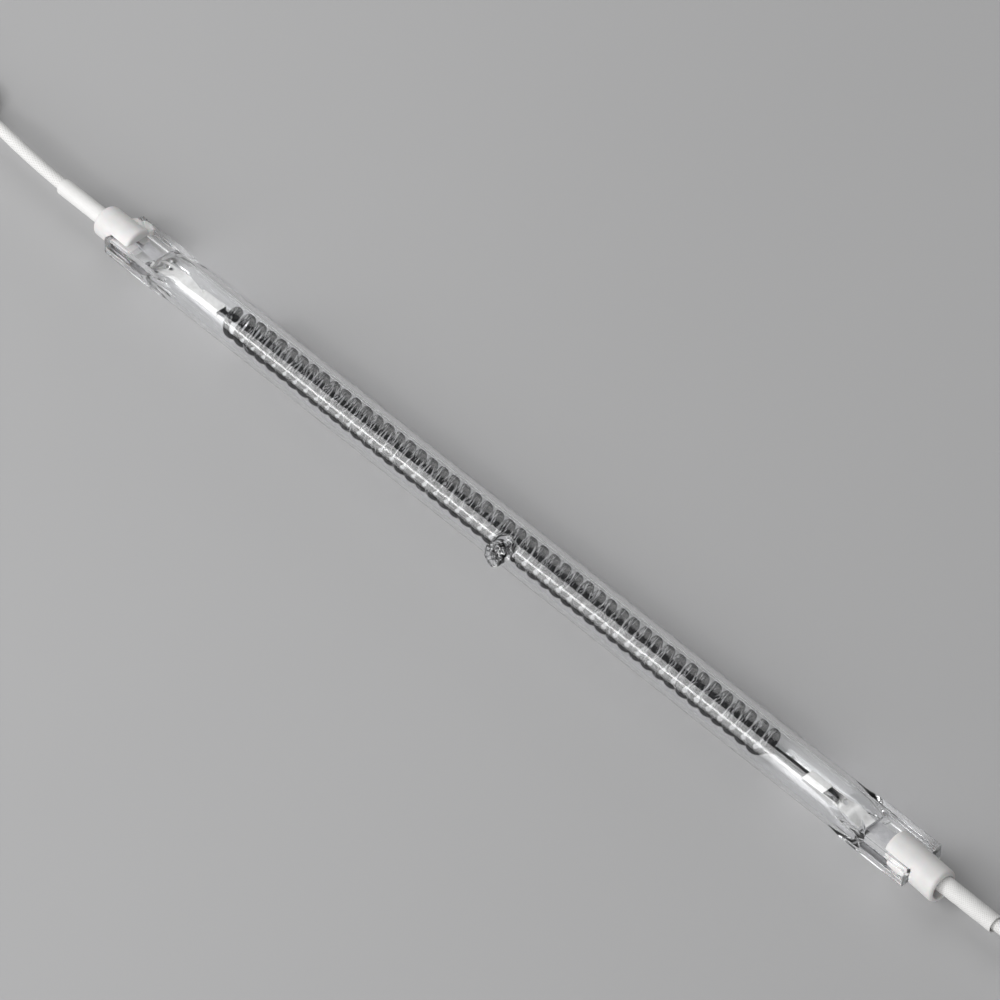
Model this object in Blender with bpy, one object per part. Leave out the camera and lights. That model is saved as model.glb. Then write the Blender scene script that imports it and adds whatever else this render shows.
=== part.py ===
"""Quartz heating tube: carbon-fibre coil in a clear quartz envelope, with pinch seals and leads.

Metres, +Z up. X runs along the tube, the tube lies on z = 0, and each sub-part is one object.
The envelope, its inner pieces and the caps are modelled about the tube's own axis and hang on the
empty "lamp", which lifts them to the axis height and gives the lamp its roll.
"""
import math

import bmesh
import bpy
from mathutils import Matrix, Vector

# Clearance between pieces that touch
GAP = 0.0003

# Quartz envelope
SIDES = 32
TUBE_DIAMETER = 0.010
TUBE_WALL = 0.001
GLASS_LENGTH = 0.228
SHOULDER_LENGTH = 0.009
PINCH_WIDTH = 0.0104
WEB_THICKNESS = 0.0022
WEB_LENGTH = 0.0125
RIB_WIDTH = 0.0014
RIB_HEIGHT = 0.0042
RIB_LENGTH = 0.016
RIB_EDGE = 0.0005
FIRE_POLISH = 0.0004
THROAT_WIDTH = 0.0052
THROAT_DEPTH = 0.0006
SHOULDER_STEPS = 8

# Exhaust tip, where the envelope was evacuated and sealed
TIP_X = 0.0045
TIP_FACETS_ROUND = 14
TIP_REACH = 0.0067
TIP_RADIUS = 0.0026
TIP_NECK = 0.00035
TIP_FOOT = 0.0006
TIP_NIB = 0.0004
TIP_BORE = 0.0009
TIP_SIDES = 20

# The lamp lies rolled by one facet of the envelope, so its pinches lean
LAMP_ROLL = -math.tau / SIDES

# Carbon-fibre coil
COIL_CLEARANCE = 0.00065
ROPE_DIAMETER = 0.0011
COIL_TURNS = 49
COIL_STEPS = 12
TAIL_FREE_LEFT = 0.0028
TAIL_FREE_RIGHT = 0.008
TAIL_TURN = 0.5

# Metal work between the coil and the outside
CLAMP_LENGTH = 0.0053
CLAMP_WALL = 0.00025
SHEET = 0.00025
CHANNEL_LENGTH = 0.0031
CHANNEL_LIP = 0.0009
STRIP_LENGTH = 0.0085
STRIP_WIDTH = 0.0023
STRIP_ARCH = 0.00035
FOIL_WIDTH = 0.003
FOIL_LENGTH = 0.0073
FOIL_THICKNESS = 0.00012
FOIL_INSET = 0.0004
PIN_DIAMETER = 0.0009
PIN_REACH = 0.0045
FERRULE_LENGTH = 0.0054
FERRULE_WALL = 0.0003

# Ceramic caps with the cement behind the pinch
CAP_DIAMETER = 0.007
CAP_LENGTH_LEFT = 0.0106
CAP_LENGTH_RIGHT = 0.0126
CAP_GRIP_LEFT = 0.0049
CAP_GRIP_RIGHT = 0.0069
CAP_BORE = 0.0043
CAP_EDGE = 0.0008
CEMENT_DEPTH = 0.0024
EAR_REACH = 0.0049

# Insulating sleeves, leads and their ends
SLEEVE_LENGTH = 0.0159
SLEEVE_WALL = 0.0002
LEAD_DIAMETER = 0.0026
ROUND_SIDES = 24
HANK_HEIGHT = 0.0026
HANK_FOLD = 0.0081
WAIST_PITCH = 0.00135
WAIST_FLAT = 0.001
TIE_WIDTH = 0.0032
TIE_THICKNESS = 0.0005
TERMINAL_START = 0.0095
TERMINAL_SLEEVE_LENGTH = 0.0066
TERMINAL_SLEEVE_DIAMETER = 0.0039
BARREL_DIAMETER = 0.0027
BARREL_LENGTH = 0.0042
RING_DIAMETER = 0.0074
RING_HOLE = 0.0043
RING_PLATE = 0.0008

# Places worked out from the sizes, for the end at +X
AXIS_Z = TUBE_DIAMETER / 2
COIL_DIAMETER = TUBE_DIAMETER - 2 * TUBE_WALL - 2 * COIL_CLEARANCE
GLASS_END = GLASS_LENGTH / 2
WEB_START = GLASS_END - WEB_LENGTH
RIB_START = GLASS_END - RIB_LENGTH
ROUND_END = WEB_START - SHOULDER_LENGTH
CAVITY_END = WEB_START - THROAT_DEPTH
FOIL_START = WEB_START - FOIL_INSET
FOIL_END = FOIL_START + FOIL_LENGTH
STRIP_END = FOIL_START - GAP
CHANNEL_END = STRIP_END - STRIP_LENGTH
CHANNEL_START = CHANNEL_END - CHANNEL_LENGTH
CLAMP_END = CHANNEL_START - GAP
CLAMP_START = CLAMP_END - CLAMP_LENGTH
COIL_LEFT = TAIL_FREE_LEFT - CLAMP_START
COIL_RIGHT = CLAMP_START - TAIL_FREE_RIGHT
TAIL_END = CHANNEL_END - 2 * GAP
PIN_START = FOIL_END + GAP
PIN_END = GLASS_END + PIN_REACH
CAP_START = {"left": GLASS_END - CAP_GRIP_LEFT, "right": GLASS_END - CAP_GRIP_RIGHT}
CAP_END = {"left": CAP_START["left"] + CAP_LENGTH_LEFT, "right": CAP_START["right"] + CAP_LENGTH_RIGHT}
CEMENT_START = GLASS_END + GAP
CEMENT_END = CEMENT_START + CEMENT_DEPTH
SLOT_END = CEMENT_END + GAP
SLEEVE_START = SLOT_END + GAP / 2
SLEEVE_END = SLEEVE_START + SLEEVE_LENGTH
FERRULE_START = CEMENT_END + GAP
FERRULE_END = FERRULE_START + FERRULE_LENGTH
LEAD_START = FERRULE_END + GAP
WINDOW_START = TERMINAL_START - GAP

# Where each hank lies: the near end of its folds from the middle of the tube, and half its run
HANKS = {"left": (0.1625, 0.0270), "right": (0.1435, 0.0285)}

# Route of each lead from the ferrule, over its hank's near fold and through the tie
LEAD_ROUTES = {
    "left": (
        (0.1250, 0.0000, 0.0050), (0.1325, 0.0001, 0.0050), (0.1375, 0.0002, 0.0050),
        (0.1420, 0.0004, 0.0050), (0.1470, 0.0007, 0.0050), (0.1520, 0.0011, 0.0050),
        (0.1560, 0.0014, 0.0049), (0.1600, 0.0015, 0.0045), (0.1640, 0.0014, 0.0042),
        (0.1690, 0.0010, 0.0042), (0.1740, 0.0005, 0.0042), (0.1790, 0.0001, 0.0042),
        (0.1845, 0.0000, 0.0042), (0.1895, 0.0000, 0.0042), (0.1935, 0.0000, 0.0042),
    ),
    "right": (
        (0.1250, 0.0000, 0.0050), (0.1290, 0.0001, 0.0050), (0.1330, 0.0002, 0.0050),
        (0.1370, 0.0003, 0.0049), (0.1410, 0.0004, 0.0045), (0.1450, 0.0004, 0.0042),
        (0.1500, 0.0003, 0.0042), (0.1550, 0.0001, 0.0042), (0.1610, 0.0000, 0.0042),
        (0.1665, 0.0000, 0.0042), (0.1720, 0.0000, 0.0042), (0.1760, 0.0000, 0.0042),
    ),
}


def clear_scene():
    """Remove every object, so that the part is alone in the file."""
    for thing in list(bpy.data.objects):
        bpy.data.objects.remove(thing, do_unlink=True)


def material(name, colour, roughness, metallic=0.0, transmission=0.0):
    """A Principled material of one plain colour."""
    made = bpy.data.materials.new(name)
    made.use_nodes = True
    shader = made.node_tree.nodes["Principled BSDF"]
    shader.inputs["Base Color"].default_value = (*colour, 1.0)
    shader.inputs["Roughness"].default_value = roughness
    shader.inputs["Metallic"].default_value = metallic
    shader.inputs["Transmission Weight"].default_value = transmission
    return made


def add_object(name, mesh, finish, parent=None):
    """Put a mesh into the scene as a named object, shaded smooth up to 30 degrees."""
    made = bpy.data.objects.new(name, mesh)
    bpy.context.scene.collection.objects.link(made)
    made.parent = parent
    if finish:
        mesh.materials.append(finish)
    mesh.shade_smooth()
    mesh.set_sharp_from_angle(angle=math.radians(30))
    return made


def mesh_from(bm, name):
    """Close a bmesh into a mesh with its faces pointing out."""
    bmesh.ops.recalc_face_normals(bm, faces=bm.faces)
    mesh = bpy.data.meshes.new(name)
    bm.to_mesh(mesh)
    bm.free()
    return mesh


def loft(name, loops):
    """A solid through closed loops of equal length, with flat ends."""
    bm = bmesh.new()
    rings = [[bm.verts.new(point) for point in loop] for loop in loops]
    for ring, after in zip(rings, rings[1:]):
        for k, corner in enumerate(ring):
            n = (k + 1) % len(ring)
            bm.faces.new((corner, ring[n], after[n], after[k]))
    bm.faces.new(rings[0])
    bm.faces.new(rings[-1])
    return mesh_from(bm, name)


def sleeve_mesh(name, outer_loops, inner_loops):
    """A hollow solid between two lofts, open at both ends."""
    bm = bmesh.new()
    loops = [*outer_loops, *reversed(inner_loops)]
    rings = [[bm.verts.new(point) for point in loop] for loop in loops]
    for ring, after in zip(rings, rings[1:] + rings[:1]):
        for k, corner in enumerate(ring):
            n = (k + 1) % len(ring)
            bm.faces.new((corner, ring[n], after[n], after[k]))
    return mesh_from(bm, name)


def turned(name, profile, sides):
    """A solid turned about Z from a profile of (radius, height) that starts and ends on the axis."""
    bm = bmesh.new()
    points = [bm.verts.new((radius, 0.0, height)) for radius, height in profile]
    edges = [bm.edges.new(pair) for pair in zip(points, points[1:])]
    bmesh.ops.spin(bm, geom=[*points, *edges], cent=(0, 0, 0), axis=(0, 0, 1),
                   angle=math.tau, steps=sides, use_duplicate=False)
    bmesh.ops.remove_doubles(bm, verts=bm.verts, dist=0.00001)
    return mesh_from(bm, name)


def prism(name, outline, low, high, place):
    """A solid between two copies of an outline; place(a, b, t) gives a point of the copy at t."""
    return loft(name, [[place(a, b, t) for a, b in outline] for t in (low, high)])


def along_x(y, z, x):
    """A section point carried along X."""
    return (x, y, z)


def along_y(x, z, y):
    """A side-view point carried along Y."""
    return (x, y, z)


def along_z(x, y, z):
    """A plan point carried up Z."""
    return (x, y, z)


def circle(radius, sides=ROUND_SIDES, y=0.0, z=0.0):
    """Points (y, z) round a circle."""
    turns = [math.tau * k / sides for k in range(sides)]
    return [(y + radius * math.cos(t), z + radius * math.sin(t)) for t in turns]


def rectangle(low_a, high_a, low_b, high_b):
    """Corner points of a rectangle, in order."""
    return [(low_a, low_b), (high_a, low_b), (high_a, high_b), (low_a, high_b)]


def ring_at(x, section):
    """A section's (y, z) points set at x."""
    return [(x, y, z) for y, z in section]


def cut(solid, cutter, operation="DIFFERENCE"):
    """Add a Boolean of the cutter to a solid, and keep the cutter out of the part."""
    cutter.hide_render = True
    cutter.display_type = "WIRE"
    cutter.parent = solid.parent
    step = solid.modifiers.new(cutter.name, "BOOLEAN")
    step.operation = operation
    step.solver = "EXACT"
    step.object = cutter


def cutter_from(mesh, matrix=None):
    """A cutter object from a mesh, optionally moved by a matrix in its mesh."""
    if matrix:
        mesh.transform(matrix)
    return add_object("cutter_" + mesh.name, mesh, None)


def mirrored(points, side):
    """Points with X turned to the side's end of the tube."""
    sign = -1 if side == "left" else 1
    return [(sign * x, y, z) for x, y, z in points]


def dome(share):
    """How much of the round body is left at a share of the shoulder: 1 at its start, 0 at its end."""
    return (1 - min(max(share, 0.0), 1.0) ** 2.4) ** 0.55


def ease(share):
    """A smooth step from 0 to 1."""
    share = min(max(share, 0.0), 1.0)
    return share * share * (3 - 2 * share)


def pinch_quadrant():
    """A quarter of the pinch's I-shaped section, from its side to the middle of its web."""
    half = PINCH_WIDTH / 2
    inner = half - RIB_WIDTH
    top = RIB_HEIGHT / 2
    web = WEB_THICKNESS / 2
    edge = RIB_EDGE
    return [
        (half, 0.0), (half, top - 1.6 * edge), (half - 0.4 * edge, top - 0.4 * edge),
        (half - 1.4 * edge, top), (inner + 0.5 * edge, top - 0.3 * edge), (inner, top - 1.2 * edge),
        (inner - 0.2 * edge, web), (inner / 2, web), (0.0, web),
    ]


def all_round(quadrant):
    """A quarter section carried round all four quarters."""
    last = len(quadrant) - 1
    second = [(-y, z) for y, z in quadrant[last - 1::-1]]
    half = [*quadrant, *second]
    return half + [(y, -z) for y, z in half[-2:0:-1]]


def envelope_section(distance):
    """The envelope's outline at a distance from the middle: round, closing to the pinch."""
    pinch = pinch_quadrant()
    count = len(pinch) - 1
    points = []
    for k, (flat_y, flat_z) in enumerate(pinch):
        angle = math.pi / 2 * k / count
        rib = ease((distance - ROUND_END) / (RIB_START - ROUND_END))
        web = 1 - dome((distance - ROUND_END) / (WEB_START - ROUND_END))
        share = rib if k < 5 else web if k > 5 else (rib + web) / 2
        round_y = TUBE_DIAMETER / 2 * math.cos(angle)
        round_z = TUBE_DIAMETER / 2 * math.sin(angle)
        points.append((round_y + share * (flat_y - round_y), round_z + share * (flat_z - round_z)))
    return all_round(points)


def envelope_mesh():
    """The envelope's outside as one solid loft from pinch to pinch."""
    stations = [ROUND_END + (WEB_START - ROUND_END) * k / SHOULDER_STEPS for k in range(SHOULDER_STEPS + 1)]
    rings = [(s, envelope_section(s)) for s in stations]
    rings.append((GLASS_END - FIRE_POLISH, envelope_section(GLASS_END)))
    polished = [(y * (1 - FIRE_POLISH / PINCH_WIDTH), z * (1 - FIRE_POLISH / RIB_HEIGHT))
                for y, z in envelope_section(GLASS_END)]
    rings.append((GLASS_END, polished))
    left = [ring_at(-x, section) for x, section in reversed(rings)]
    return loft("envelope", left + [ring_at(x, section) for x, section in rings])


def squared(half_y, half_z, power, sides=SIDES):
    """A rounded section: an ellipse at power 1, and squarer below it."""
    points = []
    for k in range(sides):
        angle = math.tau * k / sides
        across, up = math.cos(angle), math.sin(angle)
        y = math.copysign(abs(across) ** power, across) * half_y
        z = math.copysign(abs(up) ** power, up) * half_z
        points.append((y, z))
    return points


def cavity_mesh():
    """The hollow as a loft: round bore, closing to the foil's slit and the pin's hole."""
    bore = TUBE_DIAMETER / 2 - TUBE_WALL
    begin = ROUND_END - TUBE_WALL / 2
    throat_y = THROAT_WIDTH / 2
    throat_z = SHEET / 2 + GAP
    rings = []
    for k in range(SHOULDER_STEPS + 1):
        share = k / SHOULDER_STEPS
        left = dome(share)
        half_y = throat_y + (bore - throat_y) * left ** 0.5
        half_z = throat_z + (bore - throat_z) * left
        rings.append((begin + (CAVITY_END - begin) * share, squared(half_y, half_z, 0.7 + 0.3 * left)))
    slit = squared(FOIL_WIDTH / 2 + GAP, FOIL_THICKNESS / 2 + GAP, 0.5)
    hole = squared(PIN_DIAMETER / 2 + GAP, PIN_DIAMETER / 2 + GAP, 1.0)
    rings.append((FOIL_START - GAP / 2, squared(throat_y, throat_z, 0.6)))
    rings.append((FOIL_START + GAP / 2, slit))
    rings.append((FOIL_END + GAP / 2, slit))
    rings.append((PIN_START - GAP / 3, hole))
    rings.append((GLASS_END + 2 * TUBE_WALL, hole))
    left = [ring_at(-x, section) for x, section in reversed(rings)]
    return loft("cavity", left + [ring_at(x, section) for x, section in rings])


def tip_matrix():
    """Stands a piece turned about Z on the envelope, at the exhaust tip's place and angle."""
    angle = math.tau * TIP_FACETS_ROUND / SIDES - math.pi / 2
    return Matrix.Translation((TIP_X, 0, 0)) @ Matrix.Rotation(angle, 4, "X")


def tip_profile():
    """Half-section of the sealed tip as (radius, height) from the tube's axis."""
    foot = TUBE_DIAMETER / 2
    top = TIP_REACH
    return [
        (0.0, foot - TUBE_WALL), (TIP_RADIUS + TIP_FOOT, foot - TUBE_WALL),
        (TIP_RADIUS + 0.45 * TIP_FOOT - TIP_NECK, foot - 0.1 * TUBE_WALL),
        (TIP_RADIUS - TIP_NECK, foot + 0.3 * (top - foot)), (TIP_RADIUS, foot + 0.65 * (top - foot)),
        (0.9 * TIP_RADIUS, foot + 0.92 * (top - foot)),
        (0.6 * TIP_RADIUS, top), (0.3 * TIP_RADIUS, foot + 0.96 * (top - foot)),
        (0.14 * TIP_RADIUS, top + 0.4 * TIP_NIB), (0.0, top + TIP_NIB),
    ]


def tip_mesh():
    """The sealed tip: a flared foot, a short round stub and a drawn nib."""
    mesh = turned("tip", tip_profile(), TIP_SIDES)
    mesh.transform(tip_matrix())
    return mesh


def tip_bore_mesh():
    """The tapering hole that the sealed tip still has inside."""
    bottom = TUBE_DIAMETER / 2 - 2 * TUBE_WALL
    top = TUBE_DIAMETER / 2 + 0.4 * (TIP_REACH - TUBE_DIAMETER / 2)
    profile = [(0.0, bottom), (TIP_BORE, bottom), (TIP_BORE / 3, top), (0.0, top)]
    mesh = turned("tip_bore", profile, TIP_SIDES)
    mesh.transform(tip_matrix())
    return mesh


def build_envelope(lamp, quartz):
    """Quartz tube with both pinches and the exhaust tip, hollow and open at the foil slits."""
    tube = add_object("quartz_tube", envelope_mesh(), quartz, lamp)
    cut(tube, cutter_from(tip_mesh()), "UNION")
    cut(tube, cutter_from(cavity_mesh()))
    cut(tube, cutter_from(tip_bore_mesh()))


def swept(name, points, radius, finish, parent, resolution):
    """A round bar along points, as a curve with a bevel and filled caps."""
    data = bpy.data.curves.new(name, "CURVE")
    data.dimensions = "3D"
    data.bevel_depth = radius
    data.bevel_resolution = resolution
    data.use_fill_caps = True
    spline = data.splines.new("POLY")
    spline.points.add(len(points) - 1)
    for place, point in zip(spline.points, points):
        place.co = (*point, 1.0)
    data.materials.append(finish)
    made = bpy.data.objects.new(name, data)
    bpy.context.scene.collection.objects.link(made)
    made.parent = parent
    return made


def coil_points():
    """The rope's middle line: tail, helix that opens over half a turn, helix, and the other tail."""
    radius = (COIL_DIAMETER - ROPE_DIAMETER) / 2
    count = COIL_TURNS * COIL_STEPS
    opening = TAIL_TURN * COIL_STEPS
    helix = []
    for k in range(count + 1):
        open_share = ease(min(k, count - k) / opening)
        angle = -math.pi / 2 + math.tau * k / COIL_STEPS
        x = COIL_LEFT + (COIL_RIGHT - COIL_LEFT) * k / count
        helix.append((x, radius * open_share * math.cos(angle), radius * open_share * math.sin(angle)))
    start = [(-TAIL_END, 0.0, 0.0), (-CLAMP_START, 0.0, 0.0)]
    return [*start, *helix, *[(-x, y, z) for x, y, z in reversed(start)]]


def build_coil(lamp, carbon):
    """Carbon-fibre rope wound as a coil, with a straight tail through each clamp."""
    swept("heating_coil", coil_points(), ROPE_DIAMETER / 2, carbon, lamp, 0)


def build_clamp(side, lamp, metal):
    """Folded box sleeve that grips the coil's tail."""
    inner_z = ROPE_DIAMETER / 2 + GAP
    outer_y = STRIP_WIDTH / 2
    outer_z = inner_z + CLAMP_WALL
    inner_y = outer_y - CLAMP_WALL
    outer = rectangle(-outer_y, outer_y, -outer_z, outer_z)
    inner = rectangle(-inner_y, inner_y, -inner_z, inner_z)
    ends = (CLAMP_START, CLAMP_END)
    mesh = sleeve_mesh("clamp", [mirrored(ring_at(x, outer), side) for x in ends],
                       [mirrored(ring_at(x, inner), side) for x in ends])
    add_object(f"coil_clamp_{side}", mesh, metal, lamp)


def strip_side_view():
    """Side view of the connector sheet: channel floor, rise, arch, and level end at the foil."""
    floor = -ROPE_DIAMETER / 2 - GAP - SHEET / 2
    middle = [(CHANNEL_START, floor), (CHANNEL_END, floor)]
    for share in (0.15, 0.3, 0.45, 0.6, 0.8, 1.0):
        rise = ease(share / 0.45)
        arch = STRIP_ARCH * math.sin(math.pi * share) ** 2
        middle.append((CHANNEL_END + STRIP_LENGTH * share, floor * (1 - rise) + arch))
    return middle


def thickened(line, thickness):
    """A line of (x, z) points given a thickness, as a closed outline."""
    above, below = [], []
    for k, (x, z) in enumerate(line):
        before = line[max(k - 1, 0)]
        after = line[min(k + 1, len(line) - 1)]
        run = Vector((after[0] - before[0], after[1] - before[1])).normalized() * (thickness / 2)
        above.append((x - run.y, z + run.x))
        below.append((x + run.y, z - run.x))
    return [*above, *reversed(below)]


def build_strip(side, lamp, metal):
    """One folded sheet: an open channel under the coil's tail, then an arched strip to the foil."""
    half = STRIP_WIDTH / 2
    floor = -ROPE_DIAMETER / 2 - GAP - SHEET
    sheet = prism("sheet", thickened(strip_side_view(), SHEET), -half, half, along_y)
    lips = rectangle(CHANNEL_START, CHANNEL_END, floor, floor + SHEET + CHANNEL_LIP)
    flip = Matrix.Scale(-1, 4, (1, 0, 0)) if side == "left" else Matrix.Identity(4)
    sheet.transform(flip)
    if side == "left":
        sheet.flip_normals()
    strip = add_object(f"connector_strip_{side}", sheet, metal, lamp)
    for name, low in (("near", -half), ("far", half - SHEET)):
        lip = prism(f"lip_{side}_{name}", lips, low, low + SHEET, along_y)
        lip.transform(flip)
        if side == "left":
            lip.flip_normals()
        cut(strip, cutter_from(lip), "UNION")


def build_foil(side, lamp, metal):
    """Molybdenum foil with feathered edges, sealed in the web of the pinch."""
    half = FOIL_WIDTH / 2
    thick = FOIL_THICKNESS / 2
    section = [(half, -thick / 3), (half, thick / 3), (half / 2, thick), (-half / 2, thick),
               (-half, thick / 3), (-half, -thick / 3), (-half / 2, -thick), (half / 2, -thick)]
    rings = [mirrored(ring_at(x, section), side) for x in (FOIL_START, FOIL_END)]
    add_object(f"foil_{side}", loft("foil", rings), metal, lamp)


def build_pin(side, lamp, metal):
    """Outer pin from the foil, out through the end of the pinch, into the ferrule."""
    section = circle(PIN_DIAMETER / 2, 12)
    rings = [mirrored(ring_at(x, section), side) for x in (PIN_START, PIN_END)]
    add_object(f"outer_pin_{side}", loft("pin", rings), metal, lamp)


def build_ferrule(side, lamp, metal):
    """Crimp ferrule that joins the pin and the lead, squeezed in its middle."""
    bore = PIN_DIAMETER / 2 + GAP
    outside = bore + FERRULE_WALL
    waist = outside - FERRULE_WALL / 2
    shares = (0.0, 0.25, 0.35, 0.65, 0.75, 1.0)
    radii = (outside, outside, waist, waist, outside, outside)
    places = [FERRULE_START + FERRULE_LENGTH * share for share in shares]
    outer = [ring_at(x, circle(radius, 16)) for x, radius in zip(places, radii)]
    inner = [ring_at(x, circle(bore, 16)) for x in (places[0], places[-1])]
    mesh = sleeve_mesh("ferrule", [mirrored(r, side) for r in outer], [mirrored(r, side) for r in inner])
    add_object(f"splice_ferrule_{side}", mesh, metal, lamp)


def cap_profile(side):
    """Half-section of the cap as (radius, x): flat inner end, rounded outer rim and the lead's bore."""
    start, end = CAP_START[side], CAP_END[side]
    radius = CAP_DIAMETER / 2
    bore = CAP_BORE / 2
    chamfer = CAP_EDGE / 3
    return [
        (0.0, start), (radius - chamfer, start), (radius, start + chamfer),
        (radius, end - CAP_EDGE), (radius - 0.3 * CAP_EDGE, end - 0.3 * CAP_EDGE),
        (radius - CAP_EDGE, end), (bore, end), (bore, SLOT_END - GAP), (0.0, SLOT_END - GAP),
    ]


def build_cap(side, lamp, ceramic):
    """Round ceramic cap that fits between the ribs, slotted over the web."""
    quarter = math.pi / 2 if side == "right" else -math.pi / 2
    mesh = turned("cap", cap_profile(side), ROUND_SIDES)
    mesh.transform(Matrix.Rotation(quarter, 4, "Y"))
    cap = add_object(f"ceramic_cap_{side}", mesh, ceramic, lamp)
    sign = -1 if side == "left" else 1
    reach = CAP_DIAMETER
    beyond = CAP_START[side] - CAP_EDGE
    slot_z = WEB_THICKNESS / 2 + GAP
    low, high = sorted((sign * beyond, sign * SLOT_END))
    slot = rectangle(-reach, reach, -slot_z, slot_z)
    cut(cap, cutter_from(prism(f"slot_{side}", slot, low, high, along_x)))


def build_cement(side, lamp, ceramic):
    """Ceramic cement behind the pinch, which runs out over the far rib's end on the left."""
    web = WEB_THICKNESS / 2
    flush = CAP_DIAMETER / 2 - GAP
    rib = RIB_HEIGHT / 2 - RIB_EDGE
    sections = [(-flush, 0.55, web * 0.6), (-flush + GAP, 1.0, web), (flush - GAP, 1.0, web)]
    if side == "left":
        sections += [(flush + 2 * GAP, 0.8, web), (EAR_REACH - 2 * GAP, 0.62, rib)]
        sections += [(EAR_REACH, 0.35, rib * 0.8)]
    else:
        sections += [(flush, 0.55, web * 0.6)]
    loops = []
    for y, depth, half in sections:
        end = CEMENT_START + CEMENT_DEPTH * depth
        edge = 0.3 * half
        outline = [(CEMENT_START, -half), (end - edge, -half), (end, -half + edge), (end, half - edge),
                   (end - edge, half), (CEMENT_START, half)]
        loops.append(mirrored([(x, y, z) for x, z in outline], side))
    plug = add_object(f"cement_{side}", loft("cement", loops), ceramic, lamp)
    hole = circle(PIN_DIAMETER / 2 + GAP, 16)
    sign = -1 if side == "left" else 1
    low, high = sorted((sign * GLASS_END, sign * SLOT_END))
    cut(plug, cutter_from(prism(f"pin_hole_{side}", hole, low, high, along_x)))


def build_sleeve(side, lamp, braid):
    """Insulating sleeve from the cap's bore over the splice and the lead's start."""
    bore = LEAD_DIAMETER / 2 + GAP
    outside = bore + SLEEVE_WALL
    lip = outside - SLEEVE_WALL / 2
    stations = [(SLEEVE_START, outside), (SLEEVE_END - SLEEVE_WALL, outside), (SLEEVE_END, lip)]
    outer = [mirrored(ring_at(x, circle(radius)), side) for x, radius in stations]
    inner = [mirrored(ring_at(x, circle(bore)), side) for x in (SLEEVE_START, SLEEVE_END)]
    add_object(f"lead_sleeve_{side}", sleeve_mesh("sleeve", outer, inner), braid, lamp)


def smooth_points(route, spacing):
    """Points on a Catmull-Rom curve through the route, about a spacing apart."""
    knots = [Vector(point) for point in route]
    knots = [2 * knots[0] - knots[1], *knots, 2 * knots[-1] - knots[-2]]
    points = []
    for a, b, c, d in zip(knots, knots[1:], knots[2:], knots[3:]):
        count = max(1, round((c - b).length / spacing))
        for k in range(count):
            t = k / count
            points.append(0.5 * (2 * b + (c - a) * t + (2 * a - 5 * b + 4 * c - d) * t * t
                                 + (3 * b - a - 3 * c + d) * t ** 3))
    points.append(knots[-2])
    return points


def build_lead(side, root, braid):
    """Free lead from the ferrule, straight out of the sleeve, to where it lies on its hank."""
    start = (LEAD_START, 0.0, AXIS_Z)
    route = mirrored([start, *LEAD_ROUTES[side]], side)
    swept(f"lead_{side}", smooth_points(route, 2 * LEAD_DIAMETER), LEAD_DIAMETER / 2, braid, root, 2)


def strand_offset(distance, half_run):
    """How far the outer strands lie from the hank's middle line, at a distance from its waist."""
    spread = (distance - WAIST_FLAT) / (half_run - HANK_FOLD - WAIST_FLAT)
    return WAIST_PITCH + (HANK_FOLD - WAIST_PITCH) * ease(spread)


def hank_half_outline(half_run, offset, begin):
    """Plan of one end of the hank beside its strands, at an offset from them, begun at a distance."""
    turn = half_run - HANK_FOLD
    runs = [begin + (turn - begin) * k / 6 for k in range(6)]
    side_points = [(u, strand_offset(u, half_run) + offset) for u in runs]
    radius = HANK_FOLD + offset
    turns = [math.pi * k / 12 for k in range(13)]
    arc = [(turn + radius * math.sin(t), radius * math.cos(t)) for t in turns]
    return [*side_points, *arc, *[(u, -v) for u, v in reversed(side_points)]]


def hank_outline(half_run):
    """Plan of the whole hank: two open folds that meet in a narrow waist."""
    half = hank_half_outline(half_run, LEAD_DIAMETER / 2, WAIST_FLAT)
    return [*half, *[(-u, -v) for u, v in half]]


def build_hank(side, root, braid):
    """Hank of the lead's spare length: flat, with a window in each fold and a notch for its tie."""
    sign = -1 if side == "left" else 1
    near, half_run = HANKS[side]
    middle = sign * (near + half_run)
    radius = LEAD_DIAMETER / 2
    outline = [(middle + sign * u, v) for u, v in hank_outline(half_run)]
    hank = add_object(f"hank_{side}", prism("hank", outline, 0.0, HANK_HEIGHT, along_z), braid, root)
    half_window = hank_half_outline(half_run, -radius, WINDOW_START)
    for name, way in (("end", 1), ("lamp", -1)):
        window = [(middle + sign * way * u, v) for u, v in half_window]
        cut(hank, cutter_from(prism(f"{name}_{side}", window, -radius, 2 * HANK_HEIGHT, along_z)))
    notch_x = TIE_WIDTH / 2 + GAP
    notch = rectangle(middle - notch_x, middle + notch_x, -2 * HANK_FOLD, 2 * HANK_FOLD)
    cut(hank, cutter_from(prism(f"notch_{side}", notch, -radius, TIE_THICKNESS + GAP, along_z)))


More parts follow.
